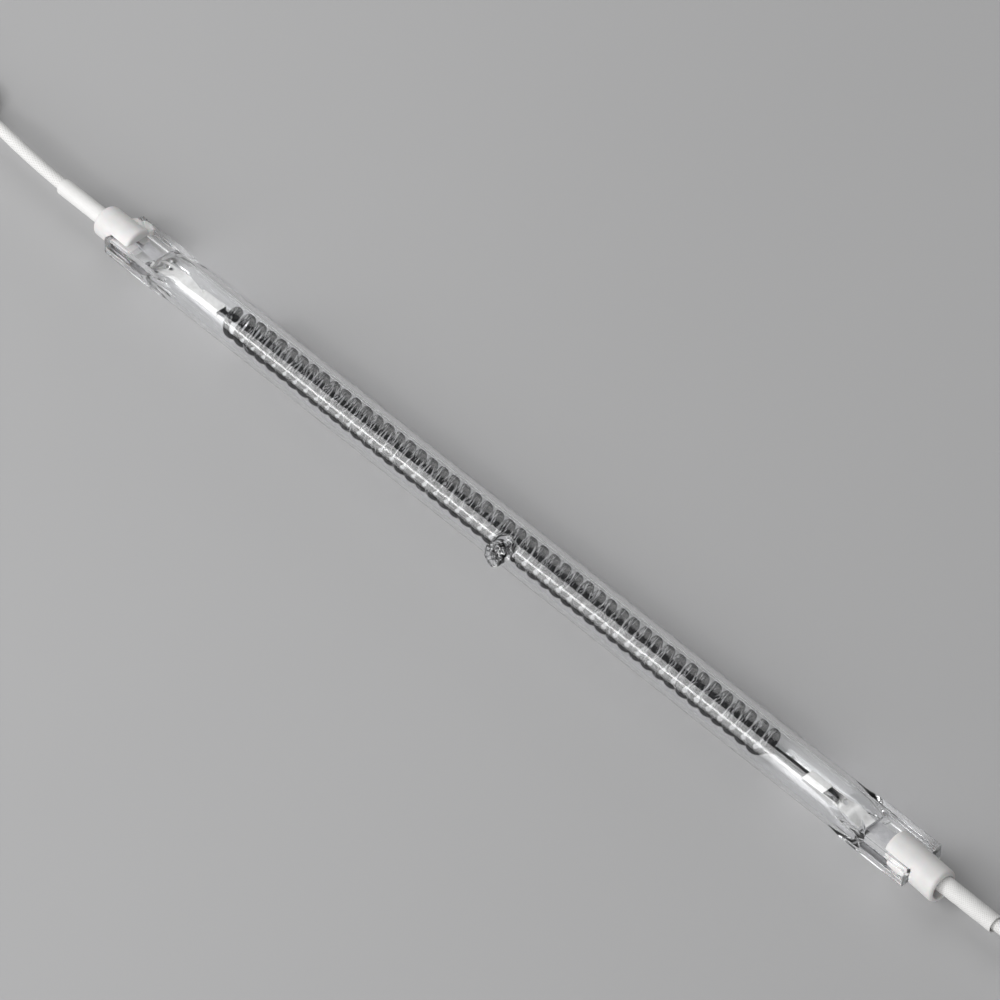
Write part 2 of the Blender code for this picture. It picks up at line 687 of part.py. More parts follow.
def build_tie(side, root, plastic):
    """Flat band round the hank's waist and the lead on it, its ends twisted into a tail on top."""
    sign = -1 if side == "left" else 1
    near, half_run = HANKS[side]
    middle = sign * (near + half_run)
    inner_y = WAIST_PITCH + LEAD_DIAMETER / 2 + GAP
    outer_y = inner_y + TIE_THICKNESS
    top = HANK_HEIGHT + GAP + LEAD_DIAMETER + GAP
    bottom = TIE_THICKNESS
    edge = TIE_THICKNESS

    def rounded(half_y, low, high, corner):
        """A rectangle with its corners cut."""
        cut_y = half_y - corner
        cut_low = low + corner
        cut_high = high - corner
        return [(cut_y, low), (half_y, cut_low), (half_y, cut_high), (cut_y, high),
                (-cut_y, high), (-half_y, cut_high), (-half_y, cut_low), (-cut_y, low)]

    ends = (middle - TIE_WIDTH / 2, middle + TIE_WIDTH / 2)
    outer = [ring_at(x, rounded(outer_y, 0.0, top + TIE_THICKNESS, 1.6 * edge)) for x in ends]
    inner = [ring_at(x, rounded(inner_y, bottom, top, edge)) for x in ends]
    band = add_object(f"hank_tie_{side}", sleeve_mesh("tie", outer, inner), plastic, root)
    length = 2 * TIE_WIDTH
    shares = (-0.5, -0.45, -0.2, 0.0, 0.2, 0.45, 0.5)
    widths = (0.5, 0.9, 1.2, 1.0, 1.2, 0.9, 0.5)
    height = top + 1.7 * TIE_THICKNESS
    sections = [circle(width * TIE_THICKNESS, 10, z=height) for width in widths]
    tail = [ring_at(middle + length * share, section) for share, section in zip(shares, sections)]
    cut(band, cutter_from(loft(f"tail_{side}", tail)), "UNION")


def build_terminal(side, root, metal, plastic):
    """Ring terminal that lies in the hank's outer fold, and the sleeve over its crimped barrel."""
    sign = -1 if side == "left" else 1
    near, half_run = HANKS[side]
    begin = near + half_run + TERMINAL_START
    axis_z = TERMINAL_SLEEVE_DIAMETER / 2
    barrel = BARREL_DIAMETER / 2
    sleeve_end = begin + TERMINAL_SLEEVE_LENGTH
    bare = BARREL_LENGTH / 4
    barrel_end = sleeve_end + bare + GAP
    barrel_start = barrel_end - BARREL_LENGTH
    bore = barrel + GAP

    def ring(x, radius, sides=20):
        """A circle about the terminal's axis at x."""
        return ring_at(sign * x, circle(radius, sides, z=axis_z))

    dent = barrel - GAP
    crimp = [(0.0, barrel), (0.25, barrel), (0.35, dent), (0.65, dent), (0.75, barrel), (1.0, barrel)]
    body = loft("terminal", [ring(barrel_start + BARREL_LENGTH * share, radius) for share, radius in crimp])
    terminal = add_object(f"ring_terminal_{side}", body, metal, root)
    low = axis_z - barrel
    centre = barrel_end + RING_DIAMETER / 2 - GAP
    neck = barrel * 0.8
    plate = [(sign * (centre + RING_DIAMETER / 2 * math.cos(t)), RING_DIAMETER / 2 * math.sin(t))
             for t in (math.tau * k / 32 for k in range(32))]
    tongue_end = centre - RING_HOLE / 2 - 2 * GAP
    tongue = rectangle(sign * (barrel_end - bare), sign * tongue_end, -neck, neck)
    hole = [(sign * centre + RING_HOLE / 2 * math.cos(t), RING_HOLE / 2 * math.sin(t))
            for t in (math.tau * k / 24 for k in range(24))]
    cut(terminal, cutter_from(prism(f"plate_{side}", plate, low, low + RING_PLATE, along_z)), "UNION")
    cut(terminal, cutter_from(prism(f"tongue_{side}", tongue, low, low + RING_PLATE, along_z)), "UNION")
    cut(terminal, cutter_from(prism(f"hole_{side}", hole, low - RING_PLATE, low + 2 * RING_PLATE, along_z)))

    outside = TERMINAL_SLEEVE_DIAMETER / 2
    ends = (begin, sleeve_end)
    mesh = sleeve_mesh("terminal_sleeve", [ring(x, outside) for x in ends], [ring(x, bore) for x in ends])
    add_object(f"terminal_sleeve_{side}", mesh, plastic, root)


def seat(root, lamp):
    """Roll the lamp about its axis, lay it on z = 0, and centre its width on y = 0."""
    lamp.rotation_euler.x = LAMP_ROLL
    lamp.location.z = AXIS_Z
    tip = tip_lean()
    near = max(height * math.sin(tip) + radius * math.cos(tip) for radius, height in tip_profile())
    lean = abs(LAMP_ROLL)
    far = max(y * math.cos(lean) + z * math.sin(lean) for y, z in pinch_quadrant())
    root.location.y = (near - far) / 2


def tip_lean():
    """The exhaust tip's angle from upright as the lamp lies."""
    return math.tau * TIP_FACETS_ROUND / SIDES + LAMP_ROLL - math.pi / 2


def main():
    """Build every piece of the heating tube."""
    clear_scene()
    root = bpy.data.objects.new("heating_tube", None)
    lamp = bpy.data.objects.new("lamp", None)
    for empty in (root, lamp):
        bpy.context.scene.collection.objects.link(empty)
    lamp.parent = root

    quartz = material("quartz", (0.93, 0.95, 0.97), 0.03, transmission=1.0)
    carbon = material("carbon_fibre", (0.03, 0.03, 0.033), 0.45)
    nickel = material("bright_nickel", (0.78, 0.77, 0.76), 0.25, metallic=1.0)
    molybdenum = material("molybdenum", (0.45, 0.45, 0.47), 0.4, metallic=1.0)
    ceramic = material("white_ceramic", (0.87, 0.86, 0.86), 0.55)
    cement = material("white_cement", (0.84, 0.83, 0.82), 0.8)
    braid = material("glass_braid", (0.85, 0.85, 0.84), 0.75)
    tinned = material("tinned_copper", (0.72, 0.72, 0.7), 0.3, metallic=1.0)
    wrap = material("white_plastic", (0.85, 0.85, 0.83), 0.45)

    build_envelope(lamp, quartz)
    build_coil(lamp, carbon)
    for side in ("left", "right"):
        build_clamp(side, lamp, nickel)
        build_strip(side, lamp, nickel)
        build_foil(side, lamp, molybdenum)
        build_pin(side, lamp, molybdenum)
        build_ferrule(side, lamp, nickel)
        build_cap(side, lamp, ceramic)
        build_cement(side, lamp, cement)
        build_sleeve(side, lamp, braid)
        build_lead(side, root, braid)
        build_hank(side, root, braid)
        build_tie(side, root, wrap)
        build_terminal(side, root, tinned, wrap)
    seat(root, lamp)


main()
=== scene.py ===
"""Looks of a carbon-fibre quartz heating tube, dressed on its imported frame.

Everything is in metres in the frame's own coordinates: X runs along the tube, +Z is up, and the
tube lies on z = 0. Each sub-assembly is a class that works out its surfaces with numpy and gives
them their finish. An end's pieces are made for the right end and mirrored in X for the left one.
"""

import logging
import math
from dataclasses import dataclass, field
from enum import Enum

import bpy
import numpy as np
from mathutils import Matrix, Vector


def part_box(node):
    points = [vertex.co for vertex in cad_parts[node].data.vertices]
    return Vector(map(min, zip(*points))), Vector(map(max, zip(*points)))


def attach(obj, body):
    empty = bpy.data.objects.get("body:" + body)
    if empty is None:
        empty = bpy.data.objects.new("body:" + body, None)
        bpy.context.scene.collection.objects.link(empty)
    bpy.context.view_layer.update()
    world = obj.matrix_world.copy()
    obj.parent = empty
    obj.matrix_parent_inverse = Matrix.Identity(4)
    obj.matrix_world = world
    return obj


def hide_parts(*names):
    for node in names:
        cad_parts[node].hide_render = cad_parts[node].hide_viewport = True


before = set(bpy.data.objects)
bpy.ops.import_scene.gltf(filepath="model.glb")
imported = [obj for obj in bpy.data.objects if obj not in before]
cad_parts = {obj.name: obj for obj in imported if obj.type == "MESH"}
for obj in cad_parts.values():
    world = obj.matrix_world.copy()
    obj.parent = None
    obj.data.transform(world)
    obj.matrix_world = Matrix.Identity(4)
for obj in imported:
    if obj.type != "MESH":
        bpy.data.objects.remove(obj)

Array = np.ndarray
Colour = tuple[float, float, float]
Point = tuple[float, float, float]
Material = bpy.types.Material
Piece = bpy.types.Object
Socket = bpy.types.NodeSocket

LOG = logging.getLogger("quartz_heating_tube")
MM = 0.001
FULL = 2 * math.pi
QUARTER = math.pi / 2
TINY = 1e-9
ALONG = np.array([1.0, 0.0, 0.0])
UP = np.array([0.0, 0.0, 1.0])


class Side(Enum):
    """The two ends of the lamp, with their direction along X."""

    LEFT = -1
    RIGHT = 1

    @property
    def label(self) -> str:
        """The end's name, as it ends the names of pieces."""
        return self.name.lower()


class Stand(Enum):
    """Which side of the tube a lamp stands on, with its direction along Y."""

    FRONT = -1
    BACK = 1


# Curves and numbers


def ease(share: Array) -> Array:
    """Smooth step from 0 to 1: three shares squared less two shares cubed, held at both ends."""
    held = np.clip(share, 0.0, 1.0)
    return held * held * (3.0 - 2.0 * held)


def dome(share: Array) -> Array:
    """1 less the share to the power 2.4, all to the power 0.55: level at first, then steep."""
    held = np.clip(share, 0.0, 1.0)
    return (1.0 - held**2.4) ** 0.55


def bell(offset: Array) -> Array:
    """Bell curve: 1 at no offset, and e to the power of minus the offset squared beside it."""
    return np.exp(-(offset**2))


def powered(wave: Array, power: float | Array) -> Array:
    """A wave's size raised to a power, with its sign kept: below 1 a round section gets squarer."""
    return np.sign(wave) * np.abs(wave) ** power


def points_of(*coordinates: float | Array) -> Array:
    """Points with the given coordinates, which are spread to one shape and put on a last axis."""
    return np.stack(np.broadcast_arrays(*coordinates), axis=-1)


def unit(vectors: Array) -> Array:
    """Vectors scaled to length 1 along their last axis."""
    return vectors / np.maximum(np.linalg.norm(vectors, axis=-1, keepdims=True), 1e-12)


def path_length(path: Array) -> float:
    """Length of a polyline."""
    return float(np.linalg.norm(np.diff(path, axis=0), axis=1).sum())


def resample(path: Array, spacing: float) -> Array:
    """Points evenly along a polyline.

    Args:
        path: points in order, one a row.
        spacing: wanted distance between points.

    Returns:
        Points at equal arc lengths, with both ends kept.
    """
    run = np.concatenate([[0.0], np.cumsum(np.linalg.norm(np.diff(path, axis=0), axis=1))])
    count = max(2, int(round(run[-1] / spacing)) + 1)
    along = np.linspace(0.0, run[-1], count)
    return np.stack([np.interp(along, run, column) for column in path.T], axis=1)


def spline(points: Array, spacing: float) -> Array:
    """Evenly spaced points on a smooth curve through the given points.

    Between two knots the curve is the usual cubic in t whose slope at each knot is half the
    chord between its neighbours.

    Args:
        points: knots in order, one a row.
        spacing: wanted distance between points.

    Returns:
        Points along the curve.
    """
    knots = np.vstack([2 * points[0] - points[1], points, 2 * points[-1] - points[-2]])
    a, b, c, d = (knots[k : len(knots) - 3 + k, None, :] for k in range(4))
    t = np.linspace(0.0, 1.0, 24, endpoint=False)[None, :, None]
    curve = 0.5 * (
        2 * b + (c - a) * t + (2 * a - 5 * b + 4 * c - d) * t**2 + (3 * b - a - 3 * c + d) * t**3
    )
    return resample(np.vstack([curve.reshape(-1, points.shape[1]), points[-1]]), spacing)


def ripple(points: Array, wavelength: float, seed: int, waves: int = 7) -> Array:
    """Soft random relief from -1 to 1: a mean of plane sine waves in random directions.

    Args:
        points: places, with coordinates on the last axis.
        wavelength: typical length of a wave.
        seed: picks the directions and phases.
        waves: how many waves are added up.

    Returns:
        One value for each place.
    """
    random = np.random.default_rng(seed)
    directions = unit(random.normal(size=(waves, points.shape[-1])))
    lengths = wavelength * random.uniform(0.6, 1.6, waves)
    phases = random.uniform(0.0, FULL, waves)
    return np.sin(points @ (directions.T * FULL / lengths) + phases).mean(axis=-1) * 1.6


def circle(radius: float, count: int) -> Array:
    """Points (across, up) on a circle, from the first axis towards the second."""
    angles = np.linspace(0.0, FULL, count, endpoint=False)
    return radius * np.stack([np.cos(angles), np.sin(angles)], axis=-1)


def rounded_box(half_y: float, half_z: float, corner: float, steps: int = 4) -> Array:
    """Outline of a rectangle with quarter-circle corners, counter-clockwise.

    Args:
        half_y: half its width.
        half_z: half its height.
        corner: the corners' radius.
        steps: how many edges make a corner.

    Returns:
        Its points (y, z).
    """
    turns = np.linspace(0.0, QUARTER, steps + 1)
    parts = [
        points_of(sy * (half_y - corner) + corner * np.cos(turns + quarter * QUARTER),
                  sz * (half_z - corner) + corner * np.sin(turns + quarter * QUARTER))
        for quarter, (sy, sz) in enumerate([(1, 1), (-1, 1), (-1, -1), (1, -1)])
    ]
    return np.vstack(parts)


# Meshes from grids


@dataclass
class Patch:
    """A skin: points, arrays of faces of one corner count each, their UVs, and normals if any."""

    points: Array
    faces: list[Array]
    uvs: list[Array]
    normals: Array | None = None


def lane_normals(grid: Array, outward: bool) -> Array:
    """Normals of a grid that is closed round its columns.

    The slope along each direction weighs the two neighbours by the square of the other one's
    distance, which stays true where the spacing changes; the normal is their cross product.

    Args:
        grid: points as (rows, columns, 3).
        outward: False turns the normals inwards.

    Returns:
        One normal for each point.
    """

    def slope(back: Array, ahead: Array) -> Array:
        """Direction at a point, from the step that leads to it and the step that leaves it."""
        before, after = (np.linalg.norm(step, axis=-1, keepdims=True) for step in (back, ahead))
        return before**2 * ahead + after**2 * back

    around = slope(grid - np.roll(grid, 1, axis=1), np.roll(grid, -1, axis=1) - grid)
    first = 2 * grid[:1] - grid[1:2]
    last = 2 * grid[-1:] - grid[-2:-1]
    padded = np.concatenate([first, grid, last], axis=0)
    along = slope(grid - padded[:-2], padded[2:] - grid)
    normals = unit(np.cross(unit(around), unit(along)))
    return normals if outward else -normals


def lane(
    grid: Array,
    caps: tuple[bool, bool] = (True, True),
    outward: bool = True,
    loop: bool = False,
    lengths: tuple[float, float] = (1.0, 1.0),
    exact: bool = False,
) -> Patch:
    """Skin over a grid of points whose columns go round and whose rows go along.

    Args:
        grid: points as (rows, columns, 3); the columns turn counter-clockwise about the rows' way.
        caps: whether the first and the last row are closed with one face.
        outward: False turns the skin inside out, for a bore.
        loop: True joins the last row to the first, and leaves no caps.
        lengths: the UV's run round the columns and along the rows.
        exact: whether normals are worked out from the grid.

    Returns:
        The patch.
    """
    rows, columns = grid.shape[:2]
    spans = rows if loop else rows - 1
    r, c = np.meshgrid(np.arange(spans), np.arange(columns), indexing="ij")
    corner_rows = np.stack([r, r, r + 1, r + 1], axis=-1)
    corner_columns = np.stack([c, c + 1, c + 1, c], axis=-1)
    quads = (corner_rows % rows) * columns + corner_columns % columns
    uv = np.stack(
        [corner_columns * lengths[0] / columns, corner_rows * lengths[1] / max(spans, 1)], axis=-1
    )
    faces = [quads.reshape(-1, 4)]
    uvs = [uv.reshape(-1, 4, 2)]
    ring = np.arange(columns)
    normals = lane_normals(grid, outward) if exact else None
    ends = ((caps[0], ring[::-1], 0), (caps[1], ring + (rows - 1) * columns, rows - 1))
    for wanted, end_ring, row in ends:
        if wanted and not loop:
            faces.append(end_ring[None, :])
            uvs.append(np.zeros((1, columns, 2)))
            if normals is not None:
                way = unit(grid[row].mean(axis=0) - grid[1 if row == 0 else row - 1].mean(axis=0))
                normals[row] = way if outward else -way
    if not outward:
        faces = [face[:, ::-1] for face in faces]
        uvs = [part[:, ::-1] for part in uvs]
    flat = None if normals is None else normals.reshape(-1, 3)
    return Patch(grid.reshape(-1, 3), faces, uvs, flat)


def tube_wall(grid: Array, **options: object) -> tuple[Array, dict]:
    """A grid that goes out along one skin and back along the other, with a lane's options."""
    return grid, {"caps": (False, False), "loop": True, **options}


def stand(name: str, data: bpy.types.ID) -> Piece:
    """Link a new object into the scene.

    Args:
        name: its name.
        data: its mesh, camera or light.

    Returns:
        The object, at the origin.
    """
    made = bpy.data.objects.new(name, data)
    bpy.context.scene.collection.objects.link(made)
    return made


def mesh_object(name: str, patches: list[Patch], sharp: float | None = 40.0) -> Piece:
    """Put patches into one mesh object at the origin, smooth apart from its sharp edges.

    Args:
        name: the piece's name.
        patches: its skins.
        sharp: edges sharper than this many degrees stay sharp; None keeps every edge smooth.

    Returns:
        The linked object.
    """
    offsets = np.cumsum([0] + [len(patch.points) for patch in patches])
    points = np.vstack([patch.points for patch in patches])
    corners = [
        (face + start).reshape(-1) for patch, start in zip(patches, offsets) for face in patch.faces
    ]
    totals = [np.full(len(face), face.shape[1]) for patch in patches for face in patch.faces]
    uvs = [uv.reshape(-1, 2) for patch in patches for uv in patch.uvs]
    loops = np.concatenate(corners).astype(np.int32)
    sizes = np.concatenate(totals).astype(np.int32)
    starts = np.concatenate([[0], np.cumsum(sizes)[:-1]]).astype(np.int32)
    mesh = bpy.data.meshes.new(name)
    mesh.vertices.add(len(points))
    mesh.vertices.foreach_set("co", points.astype(np.float32).reshape(-1))
    mesh.loops.add(len(loops))
    mesh.loops.foreach_set("vertex_index", loops)
    mesh.polygons.add(len(sizes))
    mesh.polygons.foreach_set("loop_start", starts)
    layer = mesh.uv_layers.new(name="UVMap")
    layer.data.foreach_set("uv", np.vstack(uvs).astype(np.float32).reshape(-1))
    mesh.update(calc_edges=True)
    mesh.polygons.foreach_set("use_smooth", np.ones(len(sizes), bool))
    if all(patch.normals is not None for patch in patches):
        mesh.normals_split_custom_set_from_vertices(np.vstack([patch.normals for patch in patches]))
    elif sharp is not None:
        mesh.set_sharp_from_angle(angle=math.radians(sharp))
    return stand(name, mesh)


def sweep(path: Array, sections: Array, upright: Array) -> Array:
    """Carry sections along a path.

    At each point the section's first axis is the upright direction made square to the path, and
    its second axis is the path's direction crossed with the first.

    Args:
        path: (rows, 3) middle line.
        sections: (columns, 2), or (rows, columns, 2) where the section changes.
        upright: (3,) or (rows, 3) direction that the first axis leans to.

    Returns:
        The grid, as (rows, columns, 3).
    """
    way = unit(np.gradient(path, axis=0))
    lean = np.broadcast_to(upright, path.shape)
    first = unit(lean - (lean * way).sum(axis=1, keepdims=True) * way)
    second = np.cross(way, first)
    shapes = np.broadcast_to(sections, (len(path), *np.shape(sections)[-2:]))
    moves = shapes[..., :1] * first[:, None, :], shapes[..., 1:] * second[:, None, :]
    return path[:, None, :] + moves[0] + moves[1]


def turned(profile: Array, columns: int) -> Array:
    """Grid of a piece turned about X: each (x, radius) of the profile becomes a circle."""
    ring = circle(1.0, columns)
    return points_of(profile[:, :1], profile[:, 1:] * ring[:, 0], profile[:, 1:] * ring[:, 1])


def extrude(sections: Array, stations: Array) -> Array:
    """Grid of (y, z) sections stood at stations along X.

    Args:
        sections: (columns, 2), or (stations, columns, 2) where the section changes.
        stations: places along X.

    Returns:
        The grid, as (stations, columns, 3).
    """
    shapes = np.broadcast_to(sections, (len(stations), *np.shape(sections)[-2:]))
    x = np.broadcast_to(stations[:, None, None], (*shapes.shape[:2], 1))
    return np.concatenate([x, shapes], axis=-1)


def soften(piece: Piece, width: float, sharpest: float = 40.0) -> None:
    """Round a piece's edges with a bevel.

    Args:
        piece: the piece.
        width: the bevel's width.
        sharpest: edges that turn by more than this many degrees are rounded.
    """
    bevel = piece.modifiers.new("edge", "BEVEL")
    bevel.width = width
    bevel.segments = 2
    bevel.limit_method = "ANGLE"
    bevel.angle_limit = math.radians(sharpest)


@dataclass(frozen=True)
class LampAxis:
    """Where the lamp's own axis lies in the frame, and how far the lamp is rolled about it."""

    y: float
    z: float
    roll: float = math.radians(-11.25)

    @classmethod
    def from_frame(cls) -> "LampAxis":
        """The axis through the middle of the left cap's box."""
        low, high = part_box("ceramic_cap_left")
        return cls((low.y + high.y) / 2, (low.z + high.z) / 2)

    def place(self, points: Array, side: Side = Side.RIGHT) -> Array:
        """Move points from the lamp's own axis into the frame.

        Args:
            points: places about the axis.
            side: LEFT mirrors them in X first.

        Returns:
            The points in frame coordinates.
        """
        x, y, z = points[..., 0], points[..., 1], points[..., 2]
        cos, sin = math.cos(self.roll), math.sin(self.roll)
        return points_of(x * side.value, y * cos - z * sin + self.y, y * sin + z * cos + self.z)

    def lay(self, grid: Array, side: Side, **options: object) -> Patch:
        """A placed skin over a grid made for the right end; on the left its rows turn round."""
        placed = self.place(grid, side)
        return lane(placed[::-1] if side is Side.LEFT else placed, **options)


# Finishes


class Nodes:
    """A material's node tree, with short ways to add and join its nodes."""

    def __init__(self, name: str) -> None:
        """Start a material that has its output and Principled shader.

        Args:
            name: the material's name.
        """
        self.material = bpy.data.materials.new(name)
        self.material.use_nodes = True
        self.tree = self.material.node_tree
        self.shader = self.tree.nodes["Principled BSDF"]
        self.output = self.tree.nodes["Material Output"]

    def add(self, kind: str, **values: object) -> bpy.types.Node:
        """Add a node.

        Args:
            kind: its type.
            **values: its properties.

        Returns:
            The node.
        """
        node = self.tree.nodes.new(kind)
        for key, value in values.items():
            setattr(node, key, value)
        return node

    def join(self, source: Socket, target: Socket) -> None:
        """Link two sockets."""
        self.tree.links.new(source, target)

    def settle(self, **values: object) -> None:
        """Set constants on the shader's own sockets, named with underscores for spaces."""
        for key, value in values.items():
            self.shader.inputs[key.replace("_", " ")].default_value = value

    def wear(self, **sources: Socket) -> None:
        """Link what the shader wears to its own sockets, named as in settle."""
        for key, source in sources.items():
            self.join(source, self.shader.inputs[key.replace("_", " ")])

    def number(self, operation: str, *terms: float | Socket) -> Socket:
        """Add a Math node.

        Args:
            operation: what it does.
            *terms: its sockets and numbers in order.

        Returns:
            Its result.
        """
        node = self.add("ShaderNodeMath", operation=operation)
        for socket, term in zip(node.inputs, terms):
            if isinstance(term, Socket):
                self.join(term, socket)
            else:
                socket.default_value = term
        return node.outputs[0]

    def uv(self) -> Socket:
        """The piece's own UV map."""
        return self.add("ShaderNodeUVMap", uv_map="UVMap").outputs["UV"]

    def place(self, scale: Point = (1.0, 1.0, 1.0), source: Socket | None = None) -> Socket:
        """Add scaled coordinates.

        Args:
            scale: factor along each axis.
            source: what is scaled; Object coordinates if left out.

        Returns:
            The scaled place.
        """
        if source is None:
            source = self.add("ShaderNodeTexCoord").outputs["Object"]
        mapping = self.add("ShaderNodeMapping")
        mapping.inputs["Scale"].default_value = scale
        self.join(source, mapping.inputs["Vector"])
        return mapping.outputs["Vector"]

    def noise(self, size: float, detail: float = 3.0, place: Socket | None = None) -> Socket:
        """Add a noise.

        Args:
            size: width of its features, in the place's own unit.
            detail: how many finer layers lie on it.
            place: where it is read; Object coordinates if left out.

        Returns:
            Its value from 0 to 1.
        """
        if place is None:
            place = self.place()
        node = self.add("ShaderNodeTexNoise")
        node.inputs["Scale"].default_value = 1.0 / size
        node.inputs["Detail"].default_value = detail
        self.join(place, node.inputs["Vector"])
        return node.outputs["Fac"]

    def blend(self, share: Socket, low: Colour, high: Colour,
              stops: tuple[float, float] = (0.35, 0.65)) -> Socket:
        """Add a colour between two.

        Args:
            share: says how far it goes from the first colour to the second.
            low: the colour up to the first stop.
            high: the colour from the second stop on.
            stops: the shares between which the colour changes.

        Returns:
            The colour.
        """
        ramp = self.add("ShaderNodeValToRGB")
        for element, stop, colour in zip(ramp.color_ramp.elements, stops, (low, high)):
            element.position = stop
            element.color = (*colour, 1.0)
        self.join(share, ramp.inputs["Fac"])
        return ramp.outputs["Color"]

    def span(self, share: Socket, low: float, high: float) -> Socket:
        """Spread a share of 0 to 1 over a range.

        Args:
            share: the share.
            low: result at 0.
            high: result at 1.

        Returns:
            The result.
        """
        node = self.add("ShaderNodeMapRange")
        node.inputs["To Min"].default_value = low
        node.inputs["To Max"].default_value = high
        self.join(share, node.inputs["Value"])
        return node.outputs["Result"]

    def relief(self, height: Socket, depth: float, over: Socket | None = None) -> Socket:
        """Add a Bump node.

        Args:
            height: the relief, from 0 to 1.
            depth: how high 1 stands, in metres.
            over: the normal of a relief that this one lies on.

        Returns:
            The normal.
        """
        bump = self.add("ShaderNodeBump")
        bump.inputs["Distance"].default_value = depth
        bump.inputs["Strength"].default_value = 1.0
        self.join(height, bump.inputs["Height"])
        if over is not None:
            self.join(over, bump.inputs["Normal"])
        return bump.outputs["Normal"]

    def weave(self, around: float, along: float) -> Socket:
        """Two-way braid on the UV map.

        The strands run along the two diagonals of the UV. Each direction's height is a half
        sine across its strand, and a slow product of both says which of the two lies on top.

        Args:
            around: how many strands of one way the UV's width holds.
            along: how many crossings one UV length holds.

        Returns:
            The height.
        """
        split = self.add("ShaderNodeSeparateXYZ")
        self.join(self.uv(), split.inputs["Vector"])
        u = self.number("MULTIPLY", split.outputs["X"], around)
        v = self.number("MULTIPLY", split.outputs["Y"], along)
        right, left = (
            self.number("SINE", self.number("MULTIPLY", self.number(way, u, v), math.pi))
            for way in ("ADD", "SUBTRACT")
        )
        turn = self.number("MULTIPLY", right, left)
        top = self.number("ADD", self.number("MULTIPLY", turn, 0.5), 0.5)
        under = self.number("SUBTRACT", 1.0, top)
        above, below = (
            self.number("MULTIPLY", self.number("ABSOLUTE", strand), part)
            for strand, part in ((right, top), (left, under))
        )
        return self.number("ADD", above, below)


@dataclass(frozen=True)
class Quartz:
    """Clear fused quartz with faint drawing lines, and grain where it was pressed and cut."""

    tint: Colour = (0.985, 0.99, 0.995)
    passed: Colour = (0.95, 0.95, 0.955)
    refraction: float = 1.458
    draw_line: float = 0.9 * MM
    draw_depth: float = 0.0012 * MM
    draw_stretch: Point = (0.02, 1.0, 1.0)
    grain: float = 0.24 * MM
    grain_depth: float = 0.05 * MM
    polished: float = 0.012
    rough: float = 0.34

    def build(self) -> Material:
        """Make the material; rays towards lamps pass through it, so what lies inside is lit.

        The mesh's "grain" attribute is 0 on drawn glass and 1 on a cut face. It brings in the
        grain's relief, and its square the roughness.

        Returns:
            The material.
        """
        nodes = Nodes("clear_quartz")
        nodes.settle(Base_Color=(*self.tint, 1.0), Transmission_Weight=1.0, IOR=self.refraction)
        lines = nodes.noise(self.draw_line, place=nodes.place(self.draw_stretch))
        amount = nodes.add("ShaderNodeAttribute", attribute_name="grain").outputs["Fac"]
        grains = nodes.number("MULTIPLY", nodes.noise(self.grain), amount)
        drawn = nodes.relief(lines, self.draw_depth)
        squared = nodes.number("MULTIPLY", amount, amount)
        nodes.wear(Normal=nodes.relief(grains, self.grain_depth, over=drawn),
                   Roughness=nodes.span(squared, self.polished, self.rough))
        path = nodes.add("ShaderNodeLightPath")
        clear = nodes.add("ShaderNodeBsdfTransparent")
        clear.inputs["Color"].default_value = (*self.passed, 1.0)
        mix = nodes.add("ShaderNodeMixShader")
        nodes.join(path.outputs["Is Shadow Ray"], mix.inputs["Fac"])
        nodes.join(nodes.shader.outputs["BSDF"], mix.inputs[1])
        nodes.join(clear.outputs["BSDF"], mix.inputs[2])
        nodes.join(mix.outputs["Shader"], nodes.output.inputs["Surface"])
        return nodes.material


@dataclass(frozen=True)
class CarbonFibre:
    """Dark rope of fine fibres that shine along their length."""

    dark: Colour = (0.004, 0.004, 0.005)
    light: Colour = (0.07, 0.07, 0.073)
    stops: tuple[float, float] = (0.55, 0.68)
    fibres: float = 40.0
    breaks: float = 3.2
    depth: float = 0.05 * MM
    gloss: tuple[float, float] = (0.56, 0.42)

    def build(self) -> Material:
        """Make fine lines along the rope's UV: most fibres black, about one in six pale.

        The highlight is stretched across the fibres, round the rope, as on a real bundle.

        Returns:
            The material.
        """
        nodes = Nodes("carbon_fibre_rope")
        bundle = nodes.place((self.fibres, self.breaks, 1.0), nodes.uv())
        fibres = nodes.noise(1.0, 2.0, bundle)
        tangent = nodes.add("ShaderNodeTangent", direction_type="UV_MAP", uv_map="UVMap")
        nodes.wear(Base_Color=nodes.blend(fibres, self.dark, self.light, self.stops),
                   Roughness=nodes.span(fibres, *self.gloss),
                   Normal=nodes.relief(fibres, self.depth),
                   Tangent=tangent.outputs["Tangent"])
        nodes.settle(IOR=1.35, Specular_IOR_Level=0.2, Anisotropic=0.8)
        return nodes.material


@dataclass(frozen=True)
class LooseFibre:
    """Single carbon fibres that stand off the rope and catch the light; their pale colour is a
    painted highlight.
    """

    # Painted highlight: carbon fibre is near black, and these pale greys stand in for its glints
    dull: Colour = (0.55, 0.55, 0.56)
    bright: Colour = (0.93, 0.93, 0.94)
    spot: float = 0.7 * MM

    def build(self) -> Material:
        """Make the fibres pale grey, whiter here and there: a painted highlight on near-black
        carbon.

        Returns:
            The material.
        """
        nodes = Nodes("loose_fibre_painted_glints")
        nodes.wear(Base_Color=nodes.blend(nodes.noise(self.spot), self.dull, self.bright))
        nodes.settle(Metallic=0.1, Roughness=0.3)
        return nodes.material


